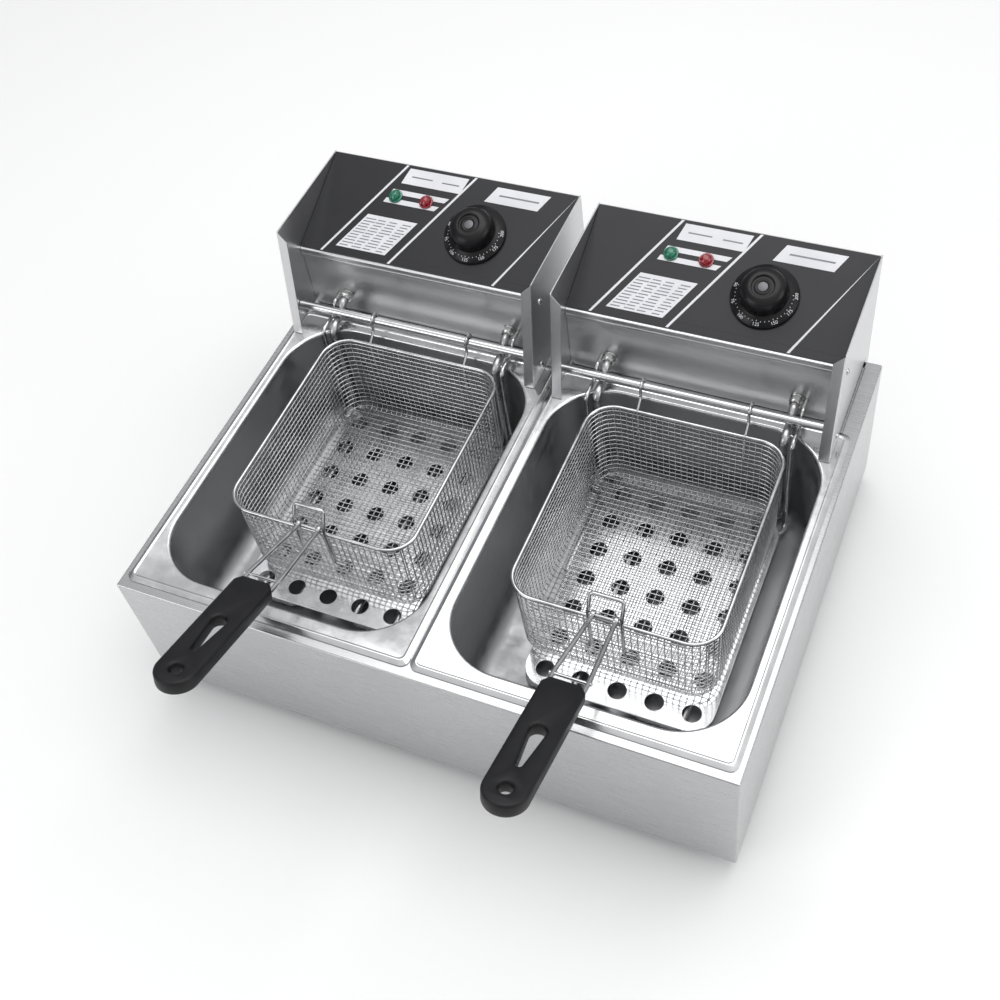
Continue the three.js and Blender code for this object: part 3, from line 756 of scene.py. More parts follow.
@dataclass
class Casing:
    """The outer casing: a folded skin with lips that the tanks hang on, a rear strip, a floor and feet.

    Attributes:
        seat: where it is drawn.
        width: across.
        depth: front to back.
        height: of the skin.
        front_lip: width of the lip along the front.
        side_lip: width of the lips along the sides.
        sheet: thickness of the sheet.
        deck_front: front edge of the rear strip.
    """

    seat: Seat
    width: float = 560.0
    depth: float = 440.0
    height: float = 145.5
    front_lip: float = 17.0
    side_lip: float = 14.0
    sheet: float = 1.2
    deck_front: float = 340.5
    foot_height: float = 18.0
    foot_inset: float = 45.0

    def making(self, slot: str, finish: Finish) -> Making:
        """Returns how a casing piece joins the object."""
        return Making(self.seat, "casing", slot, finish)

    def build(self) -> None:
        """Builds every piece of the casing."""
        self.skin()
        self.rear_strip()
        self.middle_bar()
        self.floor()
        for row, y in (("front", self.foot_inset), ("rear", self.depth - self.foot_inset)):
            for side, x in (("left", -1), ("right", 1)):
                self.foot(f"foot_{row}_{side}", x * (self.width / 2 - self.foot_inset), y)

    def skin(self) -> None:
        """Four walls and their folded lips, mitred at the corners."""
        bm = bmesh.new()
        half = self.width / 2
        block(bm, (-half, 0, 0), (half, self.depth, self.height))
        bm.normal_update()
        top = next(f for f in bm.faces if f.normal.z > 0.5)
        bottom = next(f for f in bm.faces if f.normal.z < -0.5)
        bmesh.ops.inset_region(bm, faces=[top], thickness=5.0)
        for v in top.verts:
            v.co.x = math.copysign(half - self.side_lip, v.co.x)
            v.co.y = self.front_lip if v.co.y < self.depth / 2 else self.depth - 8.0
        bmesh.ops.delete(bm, geom=[top, bottom], context="FACES_ONLY")
        folds = [e for e in bm.edges if len(e.link_faces) == 2 and e.calc_face_angle(0) > 1]
        bmesh.ops.bevel(
            bm, geom=folds, offset=1.5, offset_type="OFFSET", segments=3, profile=0.5,
            affect="EDGES", clamp_overlap=True, material=-1,
        )
        self.thicken(bm, self.sheet)
        for side in (-1, 1):
            self.seam(bm, (side * half, 0), (side * (half - self.side_lip), self.front_lip))
        making = self.making("brushed_steel", CASING_STEEL)
        making.settle(bm, "casing_skin", ["casing_shell"], weighted=True)

    @staticmethod
    def thicken(bm: Mesh, sheet: float) -> None:
        """Gives an open box its sheet, inwards from its outer faces."""
        bmesh.ops.recalc_face_normals(bm, faces=bm.faces[:])
        bm.normal_update()
        side = max(bm.faces, key=lambda f: f.calc_center_median().x)
        bmesh.ops.solidify(bm, geom=bm.faces[:], thickness=sheet if side.normal.x > 0 else -sheet)
        bmesh.ops.recalc_face_normals(bm, faces=bm.faces[:])

    def seam(self, bm: Mesh, start: Flat, end: Flat, half_width: float = 0.22) -> None:
        """Sinks the hairline where two folded lips meet.

        Args:
            bm: the casing's skin.
            start: the seam's outer end.
            end: its inner end.
            half_width: half the hairline's width.
        """
        along = Vector((end[0] - start[0], end[1] - start[1], 0)).normalized()
        across = Vector((-along.y, along.x, 0))
        origin = Vector((*start, self.height))
        beside = [f for f in bm.faces if f.calc_center_median().z > self.height - 0.05]
        beside = [f for f in beside if f.calc_center_median().x * start[0] > 0]
        for shift in (-half_width, half_width, 0):
            edges = {e for f in beside for e in f.edges}
            corners = {v for f in beside for v in f.verts}
            geometry = [*beside, *edges, *corners]
            cut = bmesh.ops.bisect_plane(
                bm, geom=geometry, dist=1e-4, plane_co=origin + across * shift, plane_no=across,
            )
            beside = faces_of(cut["geom"])
        middle = [v for v in verts_of(cut["geom_cut"]) if v.co.z > self.height - 0.05]
        sunk = [v for v in middle if (v.co - origin).dot(along) > 2.5]
        bmesh.ops.translate(bm, verts=sunk, vec=(0, 0, -0.5))

    def rear_strip(self) -> None:
        """The strip behind the tanks, folded down at its front."""
        bm = bmesh.new()
        fold_down = 12
        line = [
            (self.depth - 1.5, self.height), (self.deck_front, self.height),
            (self.deck_front, self.height - fold_down),
        ]
        bent_sheet(bm, line, self.width / 2 - self.side_lip - 0.3, self.sheet, 1.5)
        ease(bm, 0.25, 1, 60)
        self.making("brushed_steel", CASING_STEEL).settle(bm, "rear_strip", ["rear_deck"], weighted=True)

    def middle_bar(self) -> None:
        """The bar between the tanks."""
        bm = bmesh.new()
        low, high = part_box("centre_bar")
        half = (high.x - low.x) / 2 / MM
        y0, y1 = (low.y - self.seat.y) / MM, (high.y - self.seat.y) / MM
        block(bm, (-half, y0, self.height - self.sheet), (half, y1, self.height))
        for side in (-1, 1):
            x = side * (half - self.sheet / 2)
            block(bm, (x - 0.6, y0, self.height - 14), (x + 0.6, y1, self.height - self.sheet))
        ease(bm, 0.25, 2)
        self.making("brushed_steel", BAR_STEEL).settle(bm, "middle_bar", ["centre_bar"], weighted=True)

    def floor(self) -> None:
        """The base plate with its air slots, closed with screws at its corners."""
        half = self.width / 2 - 1.5
        outline = rounded(half, self.depth / 2 - 1.5, 3, self.depth / 2, 3)
        slots = []
        for x in (-150, 150):
            for row in range(5):
                slots.append(self.slot_outline(x, 163 + 26 * row))
        bm = plate(outline, slots, 0.3, 1.5, 0.3)
        self.making("galvanised_steel", ZINC).settle(bm, "base_sheet", ["base_plate"], weighted=True)
        screws = bmesh.new()
        for x in (-half + 12, 0, half - 12):
            for y in (12, self.depth - 12):
                flip = Matrix.Translation((x, y, 0.3)) @ Matrix.Rotation(math.pi, 4, "X")
                screw_head(screws, flip, 3.2)
        self.making("plated_fitting", PLATED).settle(screws, "base_screws")

    @staticmethod
    def slot_outline(x: float, y: float) -> list[Flat]:
        """Returns a slot's outline, 80 mm by 6 mm with round ends."""
        return [*arc((x + 37, y), 3, -90, 90, 6), *arc((x - 37, y), 3, 90, 270, 6)]

    def foot(self, name: str, x: float, y: float) -> None:
        """One rubber foot with a screw hole in its underside."""
        bm = bmesh.new()
        h = self.foot_height
        profile = [
            (0, 5), (3.2, 5), (3.2, 1), (4.4, 0), (12, 0), (13.6, 0.5), (14.3, 2), (15.0, 10),
            (15.9, h - 1.2), (15.4, h - 0.3), (14.6, h), (0, h),
        ]
        lathe(bm, profile, 40, Matrix.Translation((x, y, -h)))
        self.making("foot_rubber", RUBBER).settle(bm, name + "_rubber", [name])


def screw_head(bm: Mesh, place: Matrix, radius: float) -> None:
    """Adds a pan-head screw with a six-sided socket.

    Args:
        bm: the mesh.
        place: where it stands, with Z out of the sheet.
        radius: the head's radius.
    """
    r = radius
    profile = [
        (0, r * 0.3), (r * 0.42, r * 0.3), (r * 0.42, r * 0.62), (r * 0.5, r * 0.66), (r * 0.8, r * 0.5),
        (r, r * 0.2), (r, -0.2), (0, -0.2),
    ]
    lathe(bm, profile, 18, place)


# ---------------------------------------------------------------- a tank


@dataclass
class Tank:
    """A deep-drawn oil pan with a flat flange and a brim that slopes down to the casing.

    Attributes:
        side: which unit it belongs to.
        seat: where it is drawn.
    """

    side: str
    seat: Seat
    brim_half: float = 137.3
    brim_front: float = 8.2
    brim_rear: float = 349.8
    open_half: float = 125.0
    open_front: float = 25.5
    open_rear: float = 336.5
    corner: float = 56.0
    top: float = 148.5
    depth: float = 112.0
    foot_fillet: float = 17.0
    draft: float = 2.0
    sheet: float = 0.9

    def build(self) -> None:
        """Builds the pan."""
        # The pan's grey finish is painted shade for the inside of the deep pan.
        making = Making(self.seat, f"{self.side}_tank_body", "polished_steel", PAN_STEEL_PAINTED_SHADE)
        bm = bmesh.new()
        upper = [*self.brim(), *self.walls()]
        lower = [
            Station(s.half_x + out, s.half_y + out, s.middle_y, s.radius + out, s.z - down)
            for s, out, down in zip(upper, *self.sheet_steps(len(upper)))
        ]
        pressed(bm, [*reversed(upper), *lower])
        piece = making.settle(bm, f"{self.side}_oil_pan", [f"{self.side}_tank"], sharp=55)
        piece.data.materials.append(BRIM_STEEL.material())
        # Faces above this height take the brim steel; the walls and floor below keep the pan's painted shade.
        flange = (self.top - 4.5) * MM + self.seat.z
        for face in piece.data.polygons:
            if face.center.z > flange:
                face.material_index = 1

    def sheet_steps(self, count: int) -> tuple[list[float], list[float]]:
        """Returns how far the underside lies outwards of and below each outline of the upper side."""
        flat = len(self.brim())
        lean = [min(max((i - flat) / 4, 0.0), 1.0) for i in range(count)]
        floor = [min(max((i - count + 6) / 5, 0.0), 1.0) for i in range(count)]
        out = [self.sheet * a * (1 - b) for a, b in zip(lean, floor)]
        down = [self.sheet * max(1 - a, b) for a, b in zip(lean, floor)]
        return out, down

    def station(self, inset: float, z: float, radius: float) -> Station:
        """Returns an outline set in from the pan's opening by some millimetres."""
        half_y = (self.open_rear - self.open_front) / 2
        middle = (self.open_rear + self.open_front) / 2
        return Station(self.open_half - inset, half_y - inset, middle, radius, z)

    def brim(self) -> list[Station]:
        """Returns the outlines from the brim's low outer edge to the flange's inner edge."""
        half_y = (self.brim_rear - self.brim_front) / 2
        middle = (self.brim_rear + self.brim_front) / 2
        slope = [(0, 2.1), (0.25, 1.95), (3.6, 0.16), (4.1, 0.0)]
        step_down = [(4.6, 0.0), (5.1, 0.08), (5.7, 0.42), (6.4, 0.5)]
        return [
            Station(
                self.brim_half - inset, half_y - inset, middle, max(2.5, 8 - inset * 0.6), self.top - drop
            )
            for inset, drop in [*slope, *step_down]
        ]

    def walls(self) -> list[Station]:
        """Returns the outlines down the pan's wall and round onto its floor."""
        lip, round_off = 2.6, self.foot_fillet
        over = []
        for degrees in (0, 22.5, 45, 67.5, 90):
            a = math.radians(degrees)
            out = lip * (1 - math.sin(a))
            over.append(self.station(-out, self.top - 0.5 - lip * (1 - math.cos(a)), self.corner + out))
        floor = self.top - self.depth
        under = []
        for degrees in (0, 18, 36, 54, 72, 90):
            a = math.radians(degrees)
            inset = self.draft + round_off * (1 - math.cos(a))
            height = floor + round_off * (1 - math.sin(a))
            under.append(self.station(inset, height, self.corner - inset * 0.9))
        inner = self.draft + round_off + 24
        return [*over, *under, self.station(inner, floor, self.corner - inner * 0.6)]


# ---------------------------------------------------------------- the control head


@dataclass
class Head:
    """A control head: side plates, a folded tray, a back cover and the printed panel with its controls.

    Attributes:
        side: which unit it belongs to.
        seat: where it is drawn.
    """

    side: str
    seat: Seat
    width: float = 258.0
    foot_front: float = 315.0
    top_front: float = 335.5
    rear: float = 459.0
    top: float = 260.5
    strip: float = 10.0
    bottom: float = 148.8
    tab_bottom: float = 118.0
    tab_front: float = 443.2
    sheet: float = 1.2
    face_y: float = 362.0
    bar_y: float = 360.5
    bar_height: float = 8.0
    floor_z: float = 149.4
    lip_z: float = 146.2
    slope: float = 22.5
    panel_depth: float = 97.0
    knob_x: float = 42.5
    knob_v: float = 39.3
    dial_turn: float = 100.0
    lamp_v: float = 62.0
    lamp_hole: float = 5.2
    spindle_hole: float = 5.0
    green_x: float = -49.0
    red_x: float = -16.5
    gland_x: float = 70.0
    gland_z: float = 172.0
    reset_x: float = 10.0
    reset_z: float = 215.0
    skirt: float = 6.0
    slant: float = 0.56

    def making(self, slot: str, finish: Finish, body: str = "head") -> Making:
        """Returns how a piece of this head joins the object."""
        return Making(self.seat, f"{self.side}_{body}", slot, finish)

    def name(self, word: str) -> str:
        """Returns a name with this unit's side in front."""
        return f"{self.side}_{word}"

    def panel_matrix(self, x: float = 0.0, v: float = 0.0, up: float = 0.0) -> Matrix:
        """Returns the matrix that lays a piece on the panel: x across, v up its slope, up off its face."""
        tilt = math.radians(self.slope)
        front_y = self.rear - self.sheet - self.panel_depth * math.cos(tilt)
        front_z = self.top - self.panel_depth * math.sin(tilt)
        place = Matrix.Translation((0, front_y, front_z)) @ Matrix.Rotation(tilt, 4, "X")
        return place @ Matrix.Translation((x, v, up))

    def back_matrix(self, x: float, z: float) -> Matrix:
        """Returns the matrix that stands a turned piece on the back cover."""
        return Matrix.Translation((x, self.rear, z)) @ Matrix.Rotation(-math.pi / 2, 4, "X")

    def build(self) -> None:
        """Builds every piece of the head."""
        for hand, sign in (("left", -1), ("right", 1)):
            self.side_plate(hand, sign)
        self.tray()
        self.back()
        self.screws()
        self.panel()
        self.artwork()
        self.lamp("green", self.green_x, GREEN_LENS)
        self.lamp("red", self.red_x, RED_LENS)
        self.knob()
        self.dial()
        self.rod()
        self.gland()
        self.reset()
        self.inner_parts()

    def side_plate(self, hand: str, sign: int) -> None:
        """One side plate with its folded front strip."""
        bm = bmesh.new()
        x = sign * self.width / 2
        outline = [
            (self.foot_front, self.bottom), (self.top_front, self.top), (self.rear, self.top),
            (self.rear, self.tab_bottom), (self.tab_front, self.tab_bottom), (self.tab_front, self.bottom),
        ]
        verts = [bm.verts.new((x, y, z)) for y, z in outline]
        bm.faces.new(verts)
        lean = (self.top_front - self.foot_front) / (self.top - self.bottom)
        low = bm.verts.new((x - sign * self.strip, self.foot_front, self.bottom))
        high_z = self.top - self.strip
        high = bm.verts.new((x - sign * self.strip, self.top_front - self.strip * lean, high_z))
        bm.faces.new([verts[0], low, high, verts[1]])
        bmesh.ops.recalc_face_normals(bm, faces=bm.faces[:])
        fold = [e for e in bm.edges if len(e.link_faces) == 2]
        bmesh.ops.bevel(
            bm, geom=fold, offset=1.3, offset_type="OFFSET", segments=4, profile=0.5,
            affect="EDGES", clamp_overlap=True, material=-1,
        )
        wall = max(bm.faces, key=lambda f: f.calc_area())
        out = wall.normal.x * sign > 0
        bmesh.ops.solidify(bm, geom=bm.faces[:], thickness=self.sheet if out else -self.sheet)
        bmesh.ops.recalc_face_normals(bm, faces=bm.faces[:])
        ease(bm, 0.3, 2, 60)
        # The side plate's paler colour is painted light.
        making = self.making("brushed_steel", SIDE_STEEL_PAINTED_LIGHT)
        making.settle(bm, self.name(f"side_plate_{hand}"), [self.name(f"head_side_{hand}")], weighted=True)

    def tray(self) -> None:
        """The folded tray: the skin under the panel, the bar in front of it and the upright front face."""
        bm = bmesh.new()
        tilt = math.radians(self.slope)
        front = self.panel_matrix() @ Vector((0, 0, 0))
        rear_y = self.rear - self.sheet - 1.3

        def skin(y: float) -> float:
            """Returns the skin's height under the panel at y."""
            return front.z + (y - front.y) * math.tan(tilt) - 1.5 / math.cos(tilt)

        top = skin(self.bar_y)
        line = [
            (rear_y, skin(rear_y)), (self.bar_y, top), (self.bar_y, top - self.bar_height),
            (self.face_y, top - self.bar_height - 1), (self.face_y, self.floor_z), (rear_y, self.floor_z),
        ]
        half = self.width / 2 - 1.5
        bent_sheet(bm, line, half, self.sheet, 0.7)
        hem = bmesh.new()
        hem_low = (-half + 0.2, self.bar_y - 0.7, top - self.bar_height)
        block(hem, hem_low, (half - 0.2, self.bar_y, top - 4.6))
        ease(hem, 0.33, 3)
        self.making("brushed_steel", HEAD_STEEL).settle(hem, self.name("bar_hem"))
        lip = bmesh.new()
        lip_low = (-half + 0.5, self.face_y + 0.1, self.lip_z)
        block(lip, lip_low, (half - 0.5, self.face_y + 1.1, self.floor_z + 0.4))
        ease(lip, 0.3, 2)
        self.making("brushed_steel", HEAD_STEEL).settle(lip, self.name("face_lip"))
        making = self.making("brushed_steel", HEAD_STEEL)
        making.settle(bm, self.name("tray"), [self.name("head_tray")], weighted=True)

    def back(self) -> None:
        """The back cover with its air slots and the holes for the gland and the reset button."""
        half = self.width / 2 - 1.5
        low, high = self.tab_bottom, self.top - 1
        outline = [(-half, low), (half, low), (half, high), (-half, high)]
        holes = []
        for i in range(6):
            x = -97 + 16 * i
            holes.append([*arc((x, 235), 3, 0, 180, 6), *arc((x, 208), 3, 180, 360, 6)])
        holes.append(circle((self.gland_x, self.gland_z), 9.6))
        holes.append(circle((self.reset_x, self.reset_z), 5.5))
        bm = plate(outline, holes, 0, self.sheet, 0.3)
        lift = Matrix.Translation((0, self.rear, 0)) @ Matrix.Rotation(math.pi / 2, 4, "X")
        bmesh.ops.transform(bm, matrix=lift, verts=bm.verts[:])
        making = self.making("brushed_steel", HEAD_STEEL)
        making.settle(bm, self.name("back_sheet"), [self.name("back_cover")], weighted=True)

    def screws(self) -> None:
        """The screws in the side plates and the back cover."""
        bm = bmesh.new()
        screw = 2.9
        side_places = ((348, 230), (336, 161))
        for sign in (-1, 1):
            for y, z in side_places:
                turn = Matrix.Rotation(sign * math.pi / 2, 4, "Y")
                screw_head(bm, Matrix.Translation((sign * self.width / 2, y, z)) @ turn, screw)
        for x in (-118, 118):
            for z in (128, 248):
                screw_head(bm, self.back_matrix(x, z), screw)
        self.making("plated_fitting", PLATED).settle(bm, self.name("head_screws"))

    def panel(self) -> None:
        """The black film panel with holes for the lamps and the knob's spindle."""
        half = self.width / 2 - 1.5
        outline = rounded(half, self.panel_depth / 2 - 0.5, 0.6, self.panel_depth / 2, 2)
        holes = [circle((x, self.lamp_v), self.lamp_hole) for x in (self.green_x, self.red_x)]
        holes.append(circle((self.knob_x, self.knob_v), self.spindle_hole))
        bm = plate(outline, holes, -1.2, 0, 0.25)
        bmesh.ops.transform(bm, matrix=self.panel_matrix(), verts=bm.verts[:])
        making = self.making("black_fascia", FILM)
        making.settle(bm, self.name("printed_panel"), [self.name("control_panel")], weighted=True)

    def print_shape(
        self, bm: Mesh, points: Sequence[Flat], high: float = 0.14, low: float = 0.02
    ) -> None:
        """Adds one printed shape, a thin raised layer on the panel.

        Args:
            bm: the mesh.
            points: its outline, across the panel and up its slope.
            high: how far its top stands off the panel.
            low: how far its underside does.
        """
        verts = [bm.verts.new(self.panel_matrix(x, v, low) @ Vector()) for x, v in points]
        face = bm.faces.new(verts)
        pulled = bmesh.ops.extrude_face_region(bm, geom=[face])["geom"]
        up = self.panel_matrix().to_3x3() @ Vector((0, 0, high - low))
        bmesh.ops.translate(bm, verts=verts_of(pulled), vec=up)

    def artwork(self) -> None:
        """The printed lines, the plain label fields and the short grey rules on them."""
        white = bmesh.new()
        run = self.panel_depth - 1.2 + self.skirt
        half_line = 1.25
        for foot in (-104.6, -32.6, 75.4):
            head = foot + self.slant * run
            corners = [
                (foot - half_line, 0), (foot + half_line, 0), (head + half_line, run), (head - half_line, run)
            ]
            self.print_shape(white, [(min(x, self.width / 2 - 2), v - self.skirt) for x, v in corners])
        film = bmesh.new()
        half = self.width / 2 - 1.6
        edge = -self.skirt - 0.3
        self.print_shape(film, [(-half, edge), (half, edge), (half, 0.6), (-half, 0.6)], 0.06, -1.45)
        bmesh.ops.recalc_face_normals(film, faces=film.faces[:])
        self.making("black_fascia", FILM).settle(film, self.name("film_edge"))
        fields = [
            (-48.6, 13.4, 76.6, 93.2, 0.26), (39.5, 93.4, 74.0, 90.6, 0.52),
            (-91.6, -38.8, 1.5, 39.3, self.slant),
        ]
        for x0, x1, v0, v1, slant in fields:
            shift = (v1 - v0) * slant
            corners = [(x0, v0), (x1, v0), (x1 + shift, v1), (x0 + shift, v1)]
            self.print_shape(white, corners)
        for v0, v1 in ((54.6, 59.6), (64.4, 69.4)):
            x0 = -60 + (v0 - 54.6) * 0.4
            x1 = -6 + (v0 - 54.6) * 0.75
            run = v1 - v0
            self.print_shape(white, [(x0, v0), (x1, v0), (x1 + run * 0.75, v1), (x0 + run * 0.4, v1)])
        bmesh.ops.recalc_face_normals(white, faces=white.faces[:])
        self.making("black_fascia", WHITE_INK).settle(white, self.name("white_print"))
        self.rules()

    def rules(self) -> None:
        """Plain grey rules where a maker would print words, with no letters in them."""
        grey = bmesh.new()
        rows = [(-40, -18, 84.2, 1.3, 0.26), (-8, 10, 83.6, 1.3, 0.26), (52, 92, 81.6, 1.6, 0.52)]
        pitch = 3.1
        for i in range(11):
            start = -89.5 + self.slant * pitch * i
            words = ((1, 9 + i * 3 % 4), (14, 10 - i * 2 % 3), (26, 8 + i * 4 % 5), (40, 7 + i * 5 % 4))
            for gap, length in words:
                rows.append((start + gap, start + gap + length, 3.4 + pitch * i, 1.0, self.slant))
        for x0, x1, v, thick, slant in rows:
            corners = [(x0, v), (x1, v), (x1 + thick * slant, v + thick), (x0 + thick * slant, v + thick)]
            self.print_shape(grey, corners, 0.22)
        bmesh.ops.recalc_face_normals(grey, faces=grey.faces[:])
        self.making("black_fascia", GREY_INK).settle(grey, self.name("grey_print"))

    def lamp(self, colour: str, x: float, finish: Finish) -> None:
        """One indicator lamp: a faceted dome on a round collar."""
        bm = bmesh.new()
        profile = [
            (0, 6.6), (2.6, 6.0), (4.4, 4.6), (5.5, 2.6), (5.7, 1.7), (6.8, 1.5), (7.0, 1.1), (7.0, 0.3),
            (4.5, 0.3), (4.5, -12), (0, -12),
        ]
        lathe(bm, profile, 14, self.panel_matrix(x, self.lamp_v))
        lens = f"{colour}_lens"
        self.making(lens, finish).settle(bm, self.name(lens), [self.name(f"{colour}_lamp")], sharp=14)

    def knob(self) -> None:
        """The thermostat knob: a flared skirt, a stepped waist and a domed hat with a ring on top."""
        bm = bmesh.new()
        profile = [
            (0, 13.2), (3.6, 13.2), (3.6, 1.3), (29.3, 1.3), (29.9, 1.6), (30.0, 2.2), (29.6, 2.8),
            (23.4, 6.0), (22.0, 6.6), (20.9, 7.4), (20.8, 8.2), (21.3, 8.9), (21.3, 10.4), (20.9, 14.2),
            (20.2, 17.2), (18.8, 20.0), (16.6, 22.0), (13.4, 23.4), (11.0, 23.9), (10.2, 23.8), (9.7, 23.3),
            (9.5, 22.2), (7.6, 21.9), (7.0, 22.3), (6.5, 22.5), (5.4, 22.5), (4.9, 22.1), (0, 22.0),
        ]
        axis = self.panel_matrix(self.knob_x, self.knob_v)
        lathe(bm, profile, 64, axis)
        knob = self.making("black_plastic", KNOB_BLACK, "knob_body")
        knob.settle(bm, self.name("knob_cap"), [self.name("knob")], sharp=50)
        cap = bmesh.new()
        lathe(cap, [(0, 22.7), (3.6, 22.65), (4.3, 22.4), (4.4, 21.9), (0, 21.9)], 32, axis)
        self.making("plated_fitting", BADGE_STEEL, "knob_body").settle(cap, self.name("knob_badge"))
        spindle = bmesh.new()
        lathe(spindle, [(0, 12.5), (2.4, 12.5), (3, 11.9), (3, -10.5), (0, -10.5)], 24, axis)
        plated = self.making("plated_fitting", PLATED, "knob_body")
        plated.settle(spindle, self.name("spindle"), [self.name("knob_spindle")])

    def dial(self) -> None:
        """The white numbers and ticks on the knob's skirt."""
        bm = bmesh.new()
        numbers = range(50, 201, 25)
        ticks = 24
        cone = math.atan2(6.4 - 2.8, 29.6 - 22.6)
        for i in range(ticks + 1):
            turn = math.radians(-self.dial_turn + 2 * self.dial_turn * i / ticks)
            at_number = i % 4 == 0
            start, length = (23.3, 1.2) if at_number else (24.0, 1.0)
            spoke = self.skirt_matrix(turn, cone)
            low, high = (-0.22, -start - length, 0.02), (0.22, -start, 0.2)
            before = set(bm.verts)
            block(bm, low, high)
            bmesh.ops.transform(bm, matrix=spoke, verts=[v for v in bm.verts if v not in before])
        for i, number in enumerate(numbers):
            turn = math.radians(-self.dial_turn + 2 * self.dial_turn * i / (len(numbers) - 1))
            place = self.skirt_matrix(turn, cone) @ Matrix.Translation((0, -27.0, 0.02))
            self.number(bm, str(number), place)
        bmesh.ops.remove_doubles(bm, verts=bm.verts[:], dist=1e-3)
        bmesh.ops.recalc_face_normals(bm, faces=bm.faces[:])
        self.making("black_plastic", WHITE_INK, "knob_body").settle(bm, self.name("dial_numbers"))

    def skirt_matrix(self, turn: float, cone: float) -> Matrix:
        """Returns the matrix of the skirt's slope at an angle round the knob, with -Y outwards."""
        place = self.panel_matrix(self.knob_x, self.knob_v) @ Matrix.Rotation(turn, 4, "Z")
        tip = Matrix.Rotation(cone, 4, "X") @ Matrix.Translation((0, 29.6, 0))
        return place @ Matrix.Translation((0, -29.6, 2.8)) @ tip

    @staticmethod
    def number(bm: Mesh, text: str, place: Matrix) -> None:
        """Adds a number, about 3 mm high, centred on a place and read from outside the dial."""
        curve = bpy.data.curves.new("number", "FONT")
        curve.body = text
        curve.size = 4.2
        curve.align_x = "CENTER"
        curve.align_y = "CENTER"
        curve.extrude = 0.08
        curve.resolution_u = 3
        holder = bpy.data.objects.new("number", curve)
        bpy.context.scene.collection.objects.link(holder)
        bpy.context.view_layer.update()
        mesh = bpy.data.meshes.new_from_object(holder)
        mesh.transform(place @ Matrix.Translation((0, 0, 0.08)))
        bm.from_mesh(mesh)
        bpy.data.objects.remove(holder)
        bpy.data.meshes.remove(mesh)
        bpy.data.curves.remove(curve)

    def rod(self) -> None:
        """The rod that the basket hangs on."""
        bm = bmesh.new()
        half = self.width / 2 - 1.5
        profile = [(0, -half), (3.6, -half), (4, -half + 0.4), (4, half - 0.4), (3.6, half), (0, half)]
        turn = Matrix.Translation((0, ROD_Y, ROD_Z)) @ Matrix.Rotation(math.pi / 2, 4, "Y")
        lathe(bm, profile, 28, turn)
        self.making("polished_steel", BRIM_STEEL).settle(bm, self.name("rail"), [self.name("hanging_rod")])

    def gland(self) -> None:
        """The gland that the supply cord leaves by, with a ribbed tail."""
        bm = bmesh.new()
        profile = [(5, -8), (8.6, -8), (9, -7.6), (9, 0.3), (12.6, 0.3), (13, 0.8), (13, 4.4), (12.4, 5)]
        for i in range(3):
            r, h = 10.6 - 0.6 * i, 6.0 + 4 * i
            profile += [(r - 1.4, h), (r, h + 0.6), (r - 0.2, h + 2.4), (r - 1.6, h + 3)]
        profile += [(7.6, 18), (5, 18), (5, -8)]
        lathe(bm, profile, 36, self.back_matrix(self.gland_x, self.gland_z))
        making = self.making("black_plastic", GRIP_BLACK)
        making.settle(bm, self.name("cord_grommet"), [self.name("cord_gland")])

    def reset(self) -> None:
        """The reset button, which presses into the back cover."""
        bm = bmesh.new()
        profile = [(0, 5.0), (3.0, 5.1), (4.2, 4.7), (4.8, 4.0), (5, 3.2), (5, -9), (0, -9)]
        lathe(bm, profile, 32, self.back_matrix(self.reset_x, self.reset_z))
        making = self.making("red_plastic", RED_PLASTIC, "reset_body")
        making.settle(bm, self.name("reset_cap"), [self.name("reset_button")])

    def inner_parts(self) -> None:
        """Gives the parts inside the head their finishes."""
        finishes = {"thermostat": ZINC, "limit_switch": CREAM_PLASTIC, "terminal_block": CREAM_PLASTIC}
        for word, finish in finishes.items():
            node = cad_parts[self.name(word)]
            node.data.materials.clear()
            node.data.materials.append(finish.material())


# ---------------------------------------------------------------- what stands in the oil


